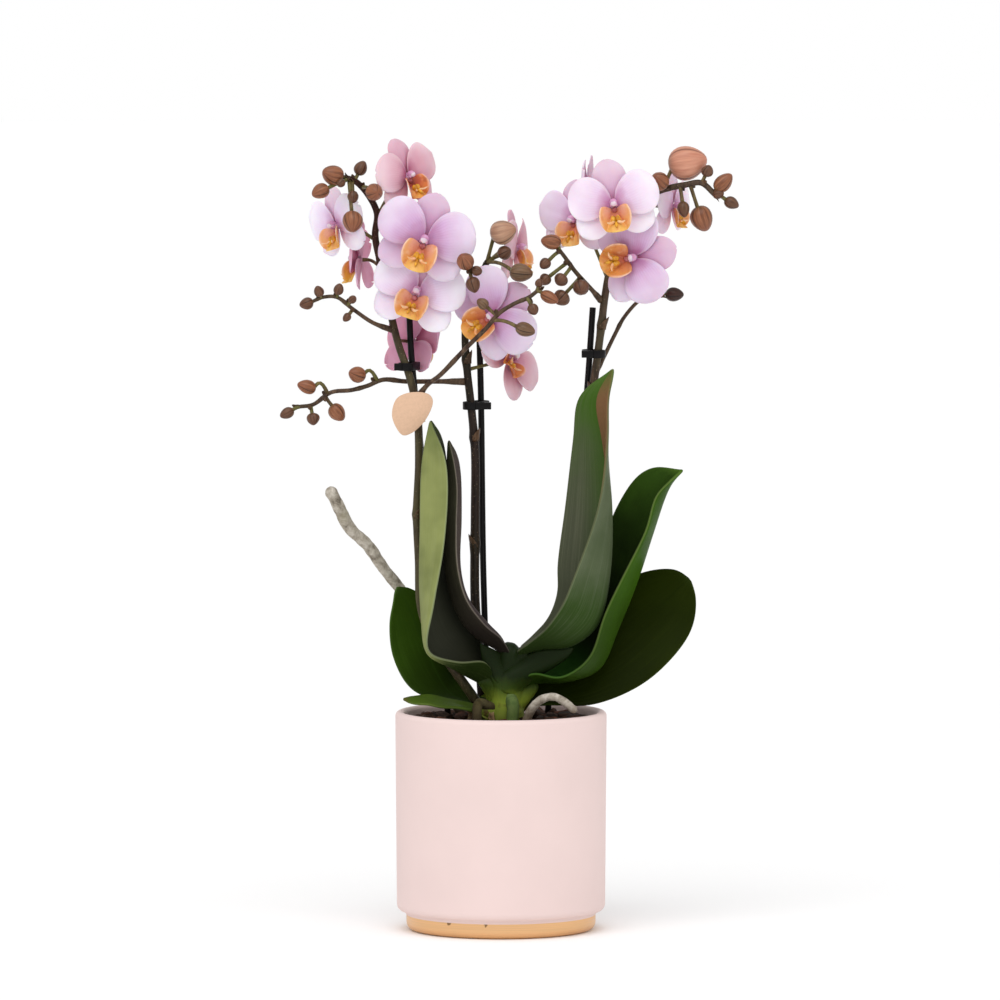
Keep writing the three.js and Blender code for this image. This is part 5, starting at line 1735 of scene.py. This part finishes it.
class ORCHID_OT_add_roots(bpy.types.Operator):
    """Adds the two loose roots"""

    bl_idname = "orchid.add_roots"
    bl_label = "Add Roots"

    def execute(self, context):
        finish = root_finish("silver root", tint("5F574C"), tint("A39A8C"), tint("D5CEC2"), tint("5A4A3A"))
        for name in ROOTS:
            make_piece(f"{name}_skin", root_shape(name), [finish], [name])
        return {"FINISHED"}


class ORCHID_OT_add_spikes(bpy.types.Operator):
    """Adds the three spikes with their branches, stalks, scales and buds"""

    bl_idname = "orchid.add_spikes"
    bl_label = "Add Spikes"

    def execute(self, context):
        settings = context.scene.orchid_stem
        stems = {
            "left": stem_finish("olive stem", tint("30271D"), tint("534833"), tint("4A4A2C"), tint("42291F")),
            "mid": stem_finish("dark stem", tint("17100E"), tint("33261F"), tint("282614")),
            "right": stem_finish("brown stem", tint("33261F"), tint("5A483A"), tint("48442C")),
        }
        branch = stem_finish("brown branch", tint("33241D"), tint("66503E"), tint("4C402E"))
        stalk = stem_finish("flower stalk", tint("4A3B28"), tint("7A6A44"), tint("6D7038"))
        scale = stem_finish("dry scale", tint("34241B"), tint("6B503A"), tint("4A3A28"))
        buds = [bud_finish(f"{tone} bud", *map(tint, colours)) for tone, colours in BUD_COLOURS.items()]
        for side in SPIKES:
            stem_shape, bud_shape = spike_shapes(side, settings)
            node = f"spike_{side}"
            make_piece(f"{node}_stems", stem_shape, [stems[side], stalk, scale, branch], [node])
            make_piece(f"{node}_buds", bud_shape, buds, [node])
        return {"FINISHED"}


class ORCHID_OT_add_stakes(bpy.types.Operator):
    """Adds the stakes and their clips"""

    bl_idname = "orchid.add_stakes"
    bl_label = "Add Stakes"

    def execute(self, context):
        finish = plastic_finish()
        for side in STAKES:
            rod = new_shape()
            centres = stake_path(side)
            add_tube(rod, centres, [STAKE_RADIUS] * len(centres), 16)
            bmesh.ops.recalc_face_normals(rod, faces=rod.faces)
            make_piece(f"stake_{side}_rod", rod, [finish], [f"stake_{side}"])
            make_piece(f"clip_{side}_loop", clip_shape(side), [finish], [f"clip_{side}"])
        return {"FINISHED"}


class ORCHID_OT_add_tag(bpy.types.Operator):
    """Adds the bare card tag"""

    bl_idname = "orchid.add_tag"
    bl_label = "Add Tag"

    def execute(self, context):
        make_piece("tag_card", tag_shape(), [card_finish(tint("DEB89A"))], ["tag"])
        return {"FINISHED"}


class ORCHID_OT_add_blooms(bpy.types.Operator):
    """Adds the fourteen blooms, each with its petals, its column, its lip and the lip's callus"""

    bl_idname = "orchid.add_blooms"
    bl_label = "Add Blooms"

    def execute(self, context):
        settings = context.scene.orchid_bloom
        petals = {tone: petal_finishes(tone) for tone in PETAL_COLOURS}
        lips = {}
        for tone, faces in LIP_COLOURS.items():
            lips[tone] = [lip_finish(f"{tone} lip {face}", *map(tint, colours))
                          for face, colours in zip(("inside", "outside"), faces)]
        flesh = [plain_flesh("column", tint("D9A5C8"), tint("C688AE"), 0.4),
                 plain_flesh("hub", tint("C795A8"), tint("A9768C"), 0.5),
                 plain_flesh("pollen cap", tint("F0DEE4"), tint("E2C0D0"), 0.4)]
        golden = [plain_flesh("callus", tint("E9AC34"), tint("B87A1C"), 0.4),
                  plain_flesh("horn", tint("F4D0A8"), tint("E6A66E"), 0.4),
                  plain_flesh("throat", tint("C87E86"), tint("A85A5C"), 0.5)]
        for k, bloom in enumerate(BLOOMS):
            name = f"bloom_{k + 1:02d}"
            pick = random.Random(settings.seed + 31 * k)
            size, tone = bloom[3], bloom[4]
            matrix = bloom_matrix(bloom)
            tepals, column, lip, callus = (new_shape() for _ in range(4))
            for kind, angle in TEPAL_ANGLES:
                tepal = add_tepal(tepals, kind, angle, pick, settings.ruffle / MM)
                # The uppermost sepal takes the finishes darkened with painted shade
                paint(tepal, 0 if angle else 2)
            add_column(column)
            add_lip(lip)
            add_callus(callus)
            for bm in (column, callus):
                bmesh.ops.recalc_face_normals(bm, faces=bm.faces)
            for bm in (tepals, column, lip, callus):
                bmesh.ops.transform(bm, matrix=matrix, verts=bm.verts)
            blades = make_piece(f"{name}_tepals", tepals, petals[tone], [f"{name}_petals"])
            thicken(blades, settings.thickness / MM * size)
            make_piece(f"{name}_column", column, flesh, [f"{name}_petals"])
            lip_finishes = lips[LIP_TONES.get(name, "gold")]
            trough = make_piece(f"{name}_trough", lip, lip_finishes, [f"{name}_lip"])
            thicken(trough, settings.thickness / MM * size)
            make_piece(f"{name}_callus", callus, golden, [f"{name}_lip"])
        return {"FINISHED"}


OPERATORS = (
    ORCHID_OT_add_stage, ORCHID_OT_add_pot, ORCHID_OT_add_bark, ORCHID_OT_add_crown,
    ORCHID_OT_add_leaves, ORCHID_OT_add_roots, ORCHID_OT_add_spikes, ORCHID_OT_add_stakes,
    ORCHID_OT_add_tag, ORCHID_OT_add_blooms,
)
SETTINGS = {
    "orchid_pot": OrchidPotSettings,
    "orchid_leaf": OrchidLeafSettings,
    "orchid_bloom": OrchidBloomSettings,
    "orchid_stem": OrchidStemSettings,
    "orchid_stage": OrchidStageSettings,
}


class ORCHID_PT_parts(bpy.types.Panel):
    """Lists the parts of the orchid and their settings"""

    bl_idname = "ORCHID_PT_parts"
    bl_label = "Potted Moth Orchid"
    bl_space_type = "VIEW_3D"
    bl_region_type = "UI"
    bl_category = "Orchid"

    def draw(self, context):
        for operator in OPERATORS:
            self.layout.operator(operator.bl_idname)
        for name, group in SETTINGS.items():
            box = self.layout.box()
            for setting in group.__annotations__:
                box.prop(getattr(context.scene, name), setting)


CLASSES = (*SETTINGS.values(), *OPERATORS, ORCHID_PT_parts)


def register():
    for item in CLASSES:
        bpy.utils.register_class(item)
    for name, group in SETTINGS.items():
        setattr(bpy.types.Scene, name, bpy.props.PointerProperty(type=group))


def unregister():
    for name in SETTINGS:
        delattr(bpy.types.Scene, name)
    for item in reversed(CLASSES):
        bpy.utils.unregister_class(item)


def main():
    """Builds the whole orchid."""
    register()
    bpy.ops.orchid.add_stage()
    bpy.ops.orchid.add_pot()
    bpy.ops.orchid.add_bark()
    bpy.ops.orchid.add_crown()
    bpy.ops.orchid.add_leaves()
    bpy.ops.orchid.add_roots()
    bpy.ops.orchid.add_spikes()
    bpy.ops.orchid.add_stakes()
    bpy.ops.orchid.add_tag()
    bpy.ops.orchid.add_blooms()
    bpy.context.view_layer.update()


if __name__ == "__main__":
    main()
